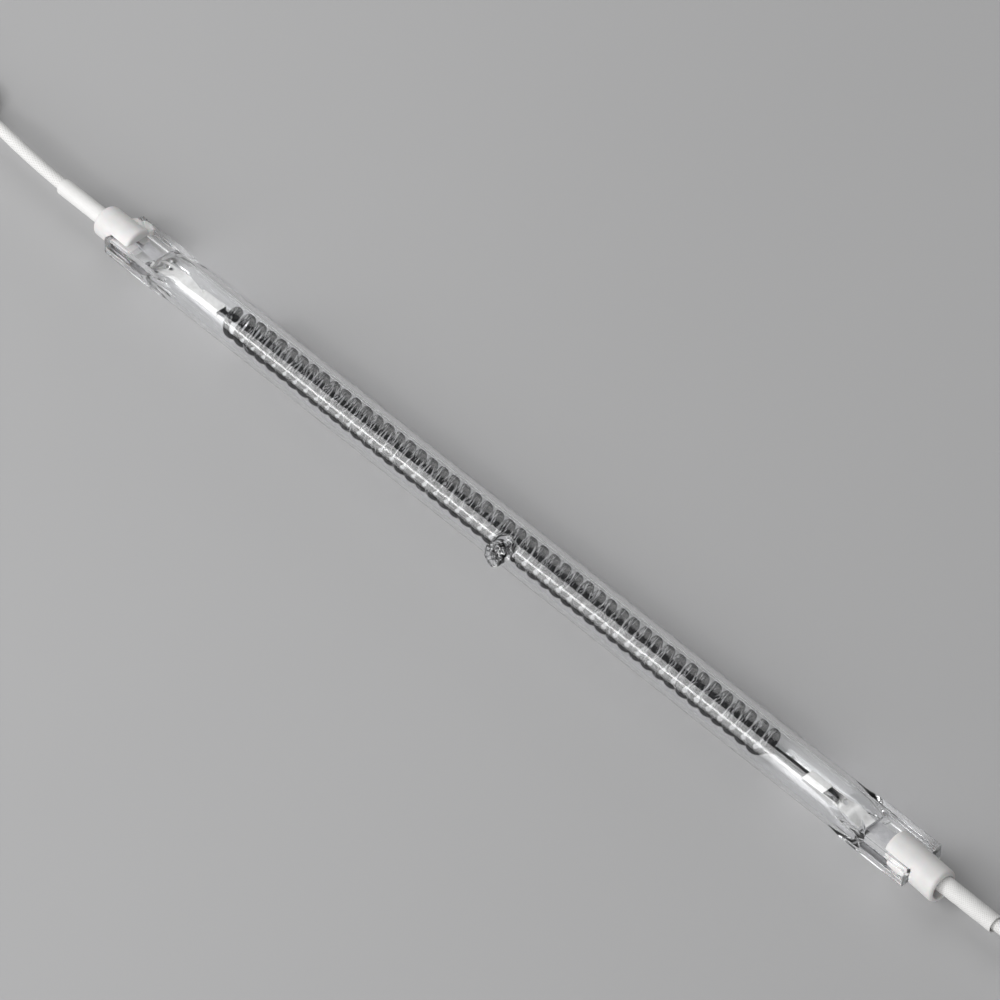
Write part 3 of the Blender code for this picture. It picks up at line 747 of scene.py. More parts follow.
@dataclass(frozen=True)
class SheetMetal:
    """Rolled or drawn metal: fine lines one way, with soft stains and rubbed spots."""

    name: str
    colour: Colour
    stained: Colour
    gloss: tuple[float, float]
    stain: float = 1.1 * MM
    line: float = 0.05 * MM
    line_depth: float = 0.006 * MM
    stretch: Point = (0.04, 1.0, 1.0)

    def build(self) -> Material:
        """Make stained colour, uneven gloss and rolling lines along X.

        Returns:
            The material.
        """
        nodes = Nodes(self.name)
        stains = nodes.noise(self.stain, 5.0)
        lines = nodes.noise(self.line, 2.0, nodes.place(self.stretch))
        nodes.wear(Base_Color=nodes.blend(stains, self.stained, self.colour, (0.3, 0.6)),
                   Roughness=nodes.span(lines, *self.gloss),
                   Normal=nodes.relief(lines, self.line_depth))
        nodes.settle(Metallic=1.0)
        return nodes.material


@dataclass(frozen=True)
class Ceramic:
    """White steatite: dense, slightly waxy, with fine pores and faint handling marks."""

    name: str = "white_ceramic"
    colour: Colour = (0.8, 0.79, 0.785)
    shade: Colour = (0.755, 0.745, 0.735)
    pore: float = 0.16 * MM
    pore_depth: float = 0.02 * MM
    gloss: tuple[float, float] = (0.36, 0.6)
    cloud: float = 2.6 * MM

    def build(self) -> Material:
        """Make slow clouds of colour, pores as relief, and uneven gloss.

        Returns:
            The material.
        """
        nodes = Nodes(self.name)
        pores = nodes.noise(self.pore, 4.0)
        nodes.wear(Base_Color=nodes.blend(nodes.noise(self.cloud, 4.0), self.shade, self.colour),
                   Roughness=nodes.span(pores, *self.gloss),
                   Normal=nodes.relief(pores, self.pore_depth))
        nodes.settle(Subsurface_Weight=0.12, Subsurface_Scale=0.6 * MM, IOR=1.55)
        return nodes.material


@dataclass(frozen=True)
class Braid:
    """White glass-fibre braid, woven of flat strands over and under."""

    name: str = "glass_fibre_braid"
    around: float = 14.0
    along: float = 2.0
    light: Colour = (0.83, 0.825, 0.815)
    # Painted shade: the gaps between strands are darkened towards this colour
    dark: Colour = (0.58, 0.57, 0.555)
    depth: float = 0.06 * MM
    gloss: tuple[float, float] = (0.75, 0.5)
    thread: float = 0.12 * MM

    def build(self) -> Material:
        """Make strands in relief, with painted shade that darkens the gaps between them, and fine
        threads on them.

        Returns:
            The material.
        """
        nodes = Nodes(self.name)
        height = nodes.weave(self.around, self.along)
        strands = nodes.number("MULTIPLY", height, 0.8)
        threads = nodes.number("MULTIPLY", nodes.noise(self.thread), 0.3)
        # Colour: painted shade in the weave's gaps, plus the threads' own uneven tone
        weave_shade_and_threads = nodes.number("ADD", strands, threads)
        nodes.wear(Base_Color=nodes.blend(weave_shade_and_threads, self.dark, self.light, (0.22, 0.62)),
                   Roughness=nodes.span(height, *self.gloss),
                   Normal=nodes.relief(weave_shade_and_threads, self.depth))
        nodes.settle(Sheen_Weight=0.15)
        return nodes.material


@dataclass(frozen=True)
class Plastic:
    """White plastic with a fine moulded grain and slight scuffs."""

    colour: Colour = (0.78, 0.78, 0.76)
    shade: Colour = (0.72, 0.715, 0.695)
    cloud: float = 2.0 * MM
    grain: float = 0.09 * MM
    grain_depth: float = 0.008 * MM
    gloss: tuple[float, float] = (0.5, 0.34)

    def build(self) -> Material:
        """Make soft clouds, grain relief and uneven gloss.

        Returns:
            The material.
        """
        nodes = Nodes("white_plastic")
        clouds = nodes.noise(self.cloud, 4.0)
        nodes.wear(Base_Color=nodes.blend(clouds, self.shade, self.colour),
                   Roughness=nodes.span(clouds, *self.gloss),
                   Normal=nodes.relief(nodes.noise(self.grain, 2.0), self.grain_depth))
        nodes.settle(Subsurface_Weight=0.1, Subsurface_Scale=0.5 * MM)
        return nodes.material


@dataclass(frozen=True)
class FloorPaint:
    """Matt pale grey floor with a hardly visible mottle."""

    colour: Colour = (0.48, 0.48, 0.484)
    shade: Colour = (0.466, 0.466, 0.47)
    cloud: float = 0.25

    def build(self) -> Material:
        """Make slow clouds between two near greys.

        Returns:
            The material.
        """
        nodes = Nodes("pale_floor")
        nodes.wear(Base_Color=nodes.blend(nodes.noise(self.cloud, 4.0), self.shade, self.colour))
        nodes.settle(Roughness=0.9, Specular_IOR_Level=0.1)
        return nodes.material


def dress(piece: Piece, finish: Material, slot: str, *nodes: str) -> Piece:
    """Finish a new piece and report it.

    Args:
        piece: the piece.
        finish: its material.
        slot: the record's material slot; not used.
        *nodes: the nodes that it stands for.

    Returns:
        The piece, riding on the lamp's one body.
    """
    piece.data.materials.clear()
    piece.data.materials.append(finish)
    if nodes:
        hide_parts(*nodes)
    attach(piece, "root")
    LOG.info("%s: %d faces", piece.name, len(piece.data.polygons))
    return piece


# Sub-assemblies

# Half-sections of the sealed tip, in mm, as (distance from its axis, height over the tube's
# axis): outside, from the wall over flared foot, side and rim to the dimple and the nib, and its
# hole, from the bore's wall to the sealed point
TIP_OUTSIDE = MM * np.array([
    (4.3, 5.0), (3.7, 5.0), (3.2, 4.97), (2.75, 4.98), (2.45, 5.06), (2.25, 5.22), (2.12, 5.45),
    (2.1, 5.7), (2.18, 5.95), (2.26, 6.2), (2.24, 6.44), (2.08, 6.62), (1.82, 6.7), (1.55, 6.64),
    (1.28, 6.48), (1.0, 6.38), (0.72, 6.4), (0.45, 6.5), (0.22, 6.7), (0.1, 6.84), (0.0, 6.9),
])
TIP_HOLE = MM * np.array([
    (1.7, 4.0), (1.35, 4.0), (1.1, 4.05), (0.95, 4.2), (0.88, 4.5), (0.78, 4.9), (0.6, 5.3),
    (0.38, 5.58), (0.18, 5.72), (0.0, 5.76),
])

# Shares of the quarter turn that the seven parts of the pinch's section take
PINCH_SPANS = (
    (0.0, 0.16), (0.19, 0.27), (0.3, 0.36), (0.39, 0.48), (0.51, 0.57), (0.6, 0.7), (0.73, 1.0),
)


@dataclass(frozen=True)
class TipPlaces:
    """Points about the tip's axis, and where the tip's half-section puts them."""

    ahead: Array
    aside: Array
    reach: Array
    near: Array
    share: Array
    radius: Array
    rise: Array


@dataclass
class Envelope:
    """The quartz tube with its two pinches and the exhaust tip."""

    axis: LampAxis
    radius: float = 5.0 * MM
    wall: float = 1.0 * MM
    end: float = 114.0 * MM
    polish: float = 0.35 * MM
    # Where the pinch's forms begin along X
    round_end: float = 92.5 * MM
    rib_delay: float = 0.6 * MM
    rib_start: float = 99.2 * MM
    web_start_left: float = 102.4 * MM
    web_start_right: float = 101.5 * MM
    pocket_corner: float = 0.9 * MM
    corner_from: float = 2.2 * MM
    corner_run: float = 1.6 * MM
    # Rows along X: where the shoulder's end, and where the pocket's and the ribs' begin and end
    shoulder_rows: float = 99.0 * MM
    pocket_rows: tuple[float, float] = (99.1 * MM, 103.6 * MM)
    rib_rows: float = 103.8 * MM
    # The pinch's H section
    half_width: float = 5.2 * MM
    rib_inner: float = 3.8 * MM
    rib_top: float = 2.1 * MM
    web: float = 1.1 * MM
    crown: float = 0.34 * MM
    brow: float = 0.26 * MM
    foot: float = 0.2 * MM
    # The slit that closes the hollow
    throat_depth: float = 0.6 * MM
    throat_y: float = 2.6 * MM
    throat_z: float = 0.42 * MM
    throat_power: float = 0.7
    throat_round: float = 0.3 * MM
    # The exhaust tip
    tip_x: float = 4.5 * MM
    tip_angle: float = math.radians(157.5)
    tip_reach: float = 4.3 * MM
    tip_step: float = 0.095 * MM
    hole_reach: float = 1.7 * MM
    hole_step: float = 0.09 * MM
    crumple: float = 0.34 * MM
    crumple_width: float = 1.0 * MM
    fold: float = 0.26 * MM
    fold_width: float = 0.5 * MM
    lean_back: float = 0.4 * MM
    lean_aside: float = 0.75 * MM
    lean_spread: float = 0.14
    # Grain: how far in from the cut ends, and on the ribs' outer faces
    cut_grain: float = 0.6 * MM
    rib_face: float = 4.5 * MM
    pressed_grain: float = 0.4

    @property
    def bore(self) -> float:
        """Radius of the round hollow."""
        return self.radius - self.wall

    @property
    def tip_up(self) -> Array:
        """Direction of the tip's axis, away from the tube."""
        return np.array([0.0, math.cos(self.tip_angle), math.sin(self.tip_angle)])

    @property
    def tip_side(self) -> Array:
        """Direction across the tip, round the tube."""
        return np.array([0.0, -math.sin(self.tip_angle), math.cos(self.tip_angle)])

    def pinch_quadrant(self) -> tuple[Array, Array]:
        """A quarter of the pinch's H section, from the rib's outer face to the web's middle.

        Returns:
            The points (y, z), and each one's place on the quarter turn of the round section.
        """
        outer, inner, top, web = self.half_width, self.rib_inner, self.rib_top, self.web
        crown, brow, foot = self.crown, self.brow, self.foot
        quarter = np.linspace(0.0, 1.0, 6) * QUARTER
        cos, sin = np.cos(quarter), np.sin(quarter)
        parts = [
            points_of(outer, np.linspace(0.0, top - crown, 5))[:-1],
            points_of(outer - crown + crown * cos, top - crown + crown * sin),
            points_of(np.linspace(outer - crown, inner + brow, 4), top)[1:-1],
            points_of(inner + brow - brow * sin, top - brow + brow * cos),
            points_of(inner, np.linspace(top - brow, web + foot, 4))[1:-1],
            points_of(inner - foot + foot * cos, web + foot - foot * sin),
            points_of(np.linspace(inner - foot, 0.0, 9), web)[1:],
        ]
        turn = [np.linspace(*span, len(part)) for part, span in zip(parts, PINCH_SPANS)]
        return np.vstack(parts), np.concatenate(turn)

    def around(self) -> tuple[Array, Array]:
        """Columns of the outer skin: dense at the pinch's corners and at the tip.

        Returns:
            Each column's angle, and its point (y, z) on the pinch.
        """
        points, turn = self.pinch_quadrant()
        angle = turn * QUARTER
        upper = np.vstack([points, points[-2::-1] * [-1.0, 1.0]])
        upper_angle = np.concatenate([angle, math.pi - angle[-2::-1]])
        every = np.vstack([upper, upper[-2:0:-1] * [1.0, -1.0], upper[:1]])
        every_angle = np.concatenate([upper_angle, FULL - upper_angle[-2:0:-1], [FULL]])
        reach = self.tip_reach / self.radius * 1.12
        low, high = self.tip_angle - reach, self.tip_angle + reach
        fine = np.arange(low, high, self.tip_step / self.radius)
        outside = np.abs(every_angle[:-1] - self.tip_angle) > reach
        angles = np.sort(np.concatenate([every_angle[:-1][outside], fine]))
        return angles, np.stack([np.interp(angles, every_angle, line) for line in every.T], axis=1)

    def stations(self) -> Array:
        """Rows of the outer skin: dense on the shoulders, at the glass's ends and at the tip.

        Returns:
            Their places along X, in order.
        """
        rounding = self.end - self.polish * (1 - np.sin(np.linspace(0.0, 1.0, 6) * QUARTER))
        half = np.concatenate([
            np.linspace(0.0, self.round_end, 15)[1:-1],
            np.linspace(self.round_end, self.shoulder_rows, 24),
            np.arange(*self.pocket_rows, 0.1 * MM),
            np.linspace(self.rib_rows, self.end - self.polish, 16)[:-1],
            rounding,
        ])
        reach = self.tip_reach * 1.05
        low, high = self.tip_x - reach, self.tip_x + reach
        coarse = np.concatenate([-half[::-1], half])
        coarse = coarse[(coarse < low - MM) | (coarse > high + MM)]
        return np.unique(np.concatenate([coarse, np.arange(low, high, self.tip_step)]))

    def outer_skin(self) -> Array:
        """Round tube that eases into an H section at both ends, with the sealed tip drawn out.

        Each column keeps its place: a point on the circle moves to its point on the pinch, the
        ribs by a smooth step and the web by a dome, so that the web's pocket ends steeply. The
        pocket ends a little further out beside the ribs, which rounds its corners. Near the cut
        ends the section is drawn in along a quarter circle, as flame-polished glass is.

        Returns:
            The grid about the lamp's axis.
        """
        angles, pinch = self.around()
        x = self.stations()
        distance = np.abs(x)[:, None]
        # From 0 at the rib's outer face to 8 at the web's middle
        quarter = np.abs(np.abs((angles / QUARTER) % 2.0 - 1.0) - 1.0)[None, :] * 8
        rib_run = self.rib_start - self.round_end - self.rib_delay
        rib = ease((distance - self.round_end - self.rib_delay) / rib_run)
        aside = (np.abs(pinch[:, 0]) - self.corner_from) / self.corner_run
        corner = self.pocket_corner * ease(aside)
        web_start = np.where(x < 0, self.web_start_left, self.web_start_right)[:, None] + corner
        pocket = 1 - dome((distance - self.round_end) / (web_start - self.round_end))
        share = rib + (pocket - rib) * ease((quarter - 3.9) / 2.1)
        ring = self.radius * np.stack([np.cos(angles), np.sin(angles)], axis=-1)
        section = ring + (pinch - ring) * share[..., None]
        past = np.maximum(distance - self.end + self.polish, 0.0)
        inset = self.polish - np.sqrt(np.maximum(self.polish**2 - past**2, 0.0))
        slope = unit(np.roll(section, -1, axis=1) - np.roll(section, 1, axis=1))
        outward = np.stack([slope[..., 1], -slope[..., 0]], axis=-1)
        return self.draw_tip(extrude(section - outward * inset[..., None], x))

    def about_tip(self, grid: Array, limit: float, knots: Array) -> TipPlaces:
        """Read points about the tip's axis.

        A point's distance from the axis, from the limit down to nothing, is read as an arc
        length on the tip's half-section, which gives its new distance and its height.

        Args:
            grid: points about the lamp's axis.
            limit: distance from the tip's axis up to which it takes points along.
            knots: the half-section.

        Returns:
            The points' places.
        """
        profile = spline(knots, 0.02 * MM)
        ahead = grid[..., 0] - self.tip_x
        aside = grid @ self.tip_side
        reach = np.hypot(ahead, aside)
        near = (reach < limit) & (grid @ self.tip_up > 0)
        share = np.clip(1 - reach / limit, 0.0, 1.0)
        place = np.linspace(0.0, 1.0, len(profile))
        radius, rise = (np.interp(share, place, column) for column in profile.T)
        return TipPlaces(ahead, aside, reach, near, share, radius, rise)

    def from_tip(self, ahead: Array, aside: Array, height: Array) -> Array:
        """Turn places about the tip's axis into points.

        Args:
            ahead: distances along the tube from the tip's axis.
            aside: distances from it round the tube.
            height: heights over the lamp's axis.

        Returns:
            The points about the lamp's axis.
        """
        return (
            ALONG * (ahead + self.tip_x)[..., None]
            + self.tip_side * aside[..., None]
            + self.tip_up * height[..., None]
        )

    def draw_tip(self, grid: Array) -> Array:
        """Draw the sealed tip out of the round wall.

        Points keep their bearing about the tip's axis while they move onto its half-section.
        The section is slightly out of round, its top is crumpled and folded by two reliefs, and
        the whole leans over.

        Args:
            grid: the outer skin.

        Returns:
            The skin with its tip.
        """
        tip = self.about_tip(grid, self.tip_reach, TIP_OUTSIDE)
        share, rise = tip.share, tip.rise
        bearing = np.arctan2(tip.aside, tip.ahead)
        uneven = 0.035 * np.sin(2 * bearing + 0.7) + 0.03 * np.sin(3 * bearing - 1.1)
        lumpy = 1 + uneven * ease(share / 0.5)
        ahead = tip.radius * lumpy * np.cos(bearing)
        aside = tip.radius * lumpy * np.sin(bearing)
        wall = np.sqrt(np.maximum(self.radius**2 - aside**2, 0.0))
        free = ease((share - 0.1) / 0.35)
        place = np.stack([ahead, aside, rise * 0.6], -1)
        relief = (self.crumple * ripple(place, self.crumple_width, 5, 9)
                  + self.fold * ripple(place, self.fold_width, 11, 9))
        top = ease((share - 0.5) / 0.12) * (1 - 0.6 * ease((share - 0.9) / 0.1))
        height = (1 - free) * (wall + rise - self.radius) + free * rise + top * relief
        lean = ease((rise - 5.05 * MM) / (0.9 * MM)) * tip.near
        ahead = ahead - self.lean_back * lean
        aside = aside * (1 + self.lean_spread * lean) + self.lean_aside * lean
        return np.where(tip.near[..., None], self.from_tip(ahead, aside, height), grid)

    def cavity_skin(self) -> Array:
        """The hollow: a round bore that closes at each end to the flat slit at the strip.

        The bore's half height falls as a dome and its half width as the dome's root, while the
        section goes from round to squarer; the slit ends in a rounded edge.

        Returns:
            The grid about the lamp's axis.
        """
        begin = self.round_end - self.wall / 2
        bore = self.bore
        run = 1 - (1 - np.linspace(0.0, 1.0, 44)) ** 1.8
        left = dome(run * 0.9995)
        close = np.sin(np.linspace(0.2, 1.0, 5) * QUARTER)
        shrink = np.sqrt(np.maximum(1 - close**2, 0.0))
        half_y = np.concatenate([self.throat_y + (bore - self.throat_y) * left**0.5,
                                 self.throat_y - self.throat_z * (1 - shrink)])
        half_z = np.concatenate([self.throat_z + (bore - self.throat_z) * left,
                                 self.throat_z * np.maximum(shrink, 0.05)])
        power = np.concatenate([self.throat_power + (1 - self.throat_power) * left,
                                np.full(len(close), self.throat_power)])

        def places(web_start: float) -> Array:
            """Distances of one end's rows from the middle of the tube."""
            last = web_start - self.throat_depth
            return np.concatenate([begin + (last - begin) * run, last + close * self.throat_round])

        reach = self.hole_reach * 1.1
        low, high = self.tip_x - reach, self.tip_x + reach
        body = np.linspace(-begin, begin, 15)[1:-1]
        body = body[(body < low - MM) | (body > high + MM)]
        body = np.unique(np.concatenate([body, np.arange(low, high, self.hole_step)]))
        left_rows, right_rows = places(self.web_start_left), places(self.web_start_right)
        stations = np.concatenate([-left_rows[::-1], body, right_rows])
        level = np.ones(len(body))
        half_y, half_z, power = (
            np.concatenate([end[::-1], middle * level, end])[:, None]
            for end, middle in ((half_y, bore), (half_z, bore), (power, 1.0))
        )
        turn = self.hole_reach / bore * 1.1
        fine = np.arange(self.tip_angle - turn, self.tip_angle + turn, self.hole_step / bore)
        regular = np.linspace(0.0, FULL, 96, endpoint=False)
        regular = regular[np.abs(regular - self.tip_angle) > turn]
        angles = np.sort(np.concatenate([regular, fine]))
        y = powered(np.cos(angles), power) * half_y
        z = powered(np.sin(angles), power) * half_z
        return self.draw_hole(points_of(stations[:, None], y, z))

    def draw_hole(self, grid: Array) -> Array:
        """Raise the tip's tapering hole out of the bore's wall, as the tip is drawn outside.

        Args:
            grid: the hollow's skin.

        Returns:
            The skin with the hole.
        """
        tip = self.about_tip(grid, self.hole_reach, TIP_HOLE)
        factor = tip.radius / np.maximum(tip.reach, TINY)
        ahead, aside = tip.ahead * factor, tip.aside * factor
        wall = np.sqrt(np.maximum(self.bore**2 - aside**2, 0.0))
        free = ease((tip.share - 0.1) / 0.4)
        height = (1 - free) * (wall + tip.rise - self.bore) + free * tip.rise
        return np.where(tip.near[..., None], self.from_tip(ahead, aside, height), grid)

    def grain(self, grid: Array) -> Array:
        """How grainy the outer skin is: whole on the cut ends, less on the ribs' outer faces.

        Args:
            grid: the outer skin.

        Returns:
            A share from 0 to 1 for each point.
        """
        distance = np.abs(grid[..., 0])
        cut = ease((distance - self.end + self.cut_grain) / (0.35 * MM))
        pressed = ease((distance - self.rib_start) / MM)
        outer = ease((np.abs(grid[..., 1]) - self.rib_face) / (0.6 * MM))
        return np.maximum(cut, self.pressed_grain * pressed * outer)

    def build(self, finish: Material) -> Piece:
        """Make the whole envelope as one closed glass body: outer skin and hollow.

        Args:
            finish: the quartz.

        Returns:
            The envelope.
        """
        skin, hollow = self.outer_skin(), self.cavity_skin()
        patches = [lane(self.axis.place(skin), exact=True),
                   lane(self.axis.place(hollow), outward=False, exact=True)]
        piece = mesh_object("quartz_envelope", patches, sharp=None)
        grain = np.concatenate([self.grain(skin).reshape(-1), np.zeros(hollow[..., 0].size)])
        layer = piece.data.attributes.new("grain", "FLOAT", "POINT")
        layer.data.foreach_set("value", grain.astype(np.float32))
        return dress(piece, finish, "quartz", "quartz_tube")


@dataclass
class Coil:
    """The carbon-fibre rope wound as a coil, with its tails and its loose fibres."""

    axis: LampAxis
    radius: float = 2.85 * MM
    turns: int = 49
    left: float = -80.8 * MM
    right: float = 75.6 * MM
    tail_left: float = 89.2 * MM
    tail_right: float = 91.9 * MM
    tail_start: float = 81.5 * MM
    step: float = 0.36 * MM
    # The rope's section
    thick: float = 0.5 * MM
    wide: float = 0.84 * MM
    ridges: int = 7
    lay_length: float = 9.0 * MM
    uv_length: float = 3.4 * MM
    # Loose fibres; the tufts, a painted highlight of pale fibres, stand on top of the turns where
    # the rope's highlight falls, between two angles in degrees from +Y, and a fibre's length is in
    # mm
    hairs: int = 2900
    tufted: int = 1900
    tuft_from: float = 92.0
    tuft_to: float = 124.0
    tuft_half: float = 80.0 * MM
    hair_radius: float = 0.042 * MM
    hair_length: tuple[float, float] = (0.7, 1.9)
    hair_bend: tuple[float, float] = (0.05, 0.42)
    hair_limit: float = 3.7 * MM

    def middle_line(self) -> Array:
        """The rope's way: a tail, a helix that opens and closes over half a turn, and a tail.

        Returns:
            Points one step apart, about the lamp's axis.
        """
        turn = np.linspace(0.0, self.turns, self.turns * 72)
        radius = self.radius * ease(np.minimum(turn, self.turns - turn) / 0.5)
        angle = turn * FULL - QUARTER
        x = self.left + (self.right - self.left) * turn / self.turns
        helix = np.stack([x, radius * np.cos(angle), radius * np.sin(angle)], 1)
        ends = np.array([[-self.tail_left, 0.0, 0.0], [self.tail_right, 0.0, 0.0]])
        return resample(np.vstack([ends[:1], helix, ends[1:]]), self.step)

    def build_rope(self, finish: Material) -> Piece:
        """Make the rope: a lobed section that twists as it is carried along the middle line.

        The section's thin axis points away from the coil's own axis, its width swells and
        narrows slowly, and the tails are flattened for their clamps.

        Args:
            finish: the carbon fibre.

        Returns:
            The coil.
        """
        path = self.middle_line()
        upright = np.array([0.02, 0.0, 1.0]) + path * [0.0, 4000.0, 4000.0]
        angle = np.linspace(0.0, FULL, 20, endpoint=False)[None, :]
        run = np.arange(len(path))[:, None] * self.step
        twisted = angle - FULL * run / self.lay_length
        lobes = 0.9 + 0.1 * np.abs(np.cos(0.5 * self.ridges * twisted))
        uneven = 1 + 0.07 * np.sin(run / (1.9 * MM)) + 0.05 * np.sin(run / (0.83 * MM) + 1.0)
        tail = ease((np.abs(path[:, :1]) - self.tail_start) / (2.0 * MM))
        sections = np.stack([
            (self.thick - 0.18 * MM * tail) * lobes * np.cos(angle),
            (self.wide + 0.1 * MM * tail) * lobes * uneven * np.sin(angle),
        ], axis=-1)
        grid = self.axis.place(sweep(path, sections, upright))
        patch = lane(grid, lengths=(1.0, len(path) * self.step / self.uv_length))
        piece = mesh_object("carbon_fibre_coil", [patch], sharp=None)
        return dress(piece, finish, "carbon_fibre", "heating_coil")

    def hair_lines(self) -> Array:
        """Middle lines of the loose fibres.

        Each starts on the rope, runs along it one way or the other, and bends away from it by a
        power of its own run. A fibre that would reach the glass is held inside the bore. Some
        start anywhere and the rest in tufts.

        Returns:
            The lines about the lamp's axis, as (fibres, points, 3).
        """
        random = np.random.default_rng(7)
        path = self.middle_line()
        way = unit(np.gradient(path, axis=0))
        facing = np.degrees(np.arctan2(path[:, 2], path[:, 1]))
        # Tufts bunch where the rope's top catches the light: pale fibres there are a painted
        # highlight
        lit = np.flatnonzero((facing > self.tuft_from) & (facing < self.tuft_to)
                             & (np.abs(path[:, 0]) < self.tuft_half))
        spread = random.integers(60, len(path) - 60, self.hairs - self.tufted)
        pick = np.concatenate([spread, random.choice(lit, self.tufted)])
        outward = unit(path[pick] * [0.0, 1.0, 1.0] + TINY)
        spin = random.normal(size=(self.hairs, 3)) * 0.5
        lean = unit(outward + spin)
        run = way[pick] * random.choice([-1.0, 1.0], (self.hairs, 1))
        length = random.uniform(*self.hair_length, (self.hairs, 1)) * MM
        shift = random.uniform(-0.7, 0.7, (self.hairs, 1)) * MM
        start = path[pick] + lean * self.thick * 0.7 + np.cross(way[pick], outward) * shift
        bend = random.uniform(*self.hair_bend, (self.hairs, 1))
        share = np.linspace(0.0, 1.0, 7)[None, :, None]
        line = (
            start[:, None, :]
            + run[:, None, :] * length[:, None, :] * share
            + lean[:, None, :] * (length * bend)[:, None, :] * share**1.6
        )
        swing = np.hypot(line[..., 1], line[..., 2])
        held = np.minimum(1.0, self.hair_limit / np.maximum(swing, TINY))
        line[..., 1:] *= held[..., None]
        return line

    def build_hairs(self, finish: Material) -> Piece:
        """Make the loose fibres: a three-sided tube along each line, tapering to a quarter.

        Args:
            finish: the fibres' material.

        Returns:
            All fibres as one piece.
        """
        line = self.hair_lines()
        direction = unit(np.gradient(line, axis=1))
        side = unit(np.cross(direction, np.array([0.31, 0.52, 0.79])))
        up = np.cross(direction, side)
        turn = np.linspace(0.0, FULL, 3, endpoint=False)[None, None, :, None]
        share = np.linspace(0.0, 1.0, line.shape[1])[None, :, None, None]
        taper = (1 - 0.75 * share) * self.hair_radius
        spokes = side[:, :, None, :] * np.cos(turn) + up[:, :, None, :] * np.sin(turn)
        grid = line[:, :, None, :] + taper * spokes
        one = lane(self.axis.place(grid[0]))
        shift = (np.arange(self.hairs) * len(one.points))[:, None, None]
        faces = [(part[None] + shift).reshape(-1, part.shape[1]) for part in one.faces]
        uvs = [np.tile(part, (self.hairs, 1, 1)) for part in one.uvs]
        patch = Patch(self.axis.place(grid).reshape(-1, 3), faces, uvs)
        piece = mesh_object("coil_loose_fibres", [patch], sharp=None)
        return dress(piece, finish, "carbon_fibre")


@dataclass(frozen=True)
class Lump:
    """A lump of cement, its centre about the lamp's axis and its half sizes in mm."""

    middle: Point
    half: Point
    power: float
    seed: int

    def grid(self) -> Array:
        """A superellipsoid round X with a soft random relief, its rows along X.

        X goes as the sine of the rise, and y and z as its cosine times the cosine and sine of
        the turn, each raised to the lump's power; below 1 the lump gets fuller.

        Returns:
            The grid.
        """
        rise = np.linspace(0.05 - QUARTER, QUARTER - 0.05, 36)[:, None]
        turn = np.linspace(0.0, FULL, 56, endpoint=False)[None, :]
        around = powered(np.cos(rise), self.power)
        grid = points_of(powered(np.sin(rise), self.power),
                         around * powered(np.cos(turn), self.power),
                         around * powered(np.sin(turn), self.power)) * (np.array(self.half) * MM)
        relief = ripple(grid, 1.5 * MM, self.seed)[..., None]
        return grid * (1 + 0.06 * relief) + np.array(self.middle) * MM


# Cement inside each cap, and what ran out between cap and glass: over the far rib's end on the
# left, and in the near rib's inner corner on the right
PLUG = Lump((115.4, 0.0, 0.0), (1.1, 2.9, 1.3), 0.5, 4)
SQUEEZED = {
    Side.LEFT: (Lump((111.2, 3.8, 0.75), (1.9, 1.2, 1.45), 0.7, 3),
                Lump((112.6, 3.0, 0.8), (2.6, 1.2, 1.6), 0.8, 9)),
    Side.RIGHT: (Lump((111.4, -3.45, 0.3), (2.3, 0.4, 0.9), 1.0, 5),),
}


@dataclass(frozen=True)
class EndPlaces:
    """Where one end's pieces lie along the lamp, and what else differs between the ends."""

    clamp_start: float
    channel_end: float
    strip_end: float
    foil_start: float
    foil_across: float
    foil_half: float
    cap_start: float
    cap_end: float
    cap_sag: float
    sleeve_flat: float


# Each end's own places, as the lamp was put together by hand
PLACES = {
    Side.LEFT: EndPlaces(
        clamp_start=83.3 * MM, channel_end=90.3 * MM, strip_end=102.6 * MM,
        foil_start=103.6 * MM, foil_across=0.5 * MM, foil_half=1.3 * MM,
        cap_start=109.1 * MM, cap_end=119.7 * MM, cap_sag=0.0, sleeve_flat=0.015,
    ),
    Side.RIGHT: EndPlaces(
        clamp_start=84.2 * MM, channel_end=92.9 * MM, strip_end=100.3 * MM,
        foil_start=101.0 * MM, foil_across=0.1 * MM, foil_half=1.65 * MM,
        cap_start=107.1 * MM, cap_end=120.1 * MM, cap_sag=0.5 * MM, sleeve_flat=0.04,
    ),
}


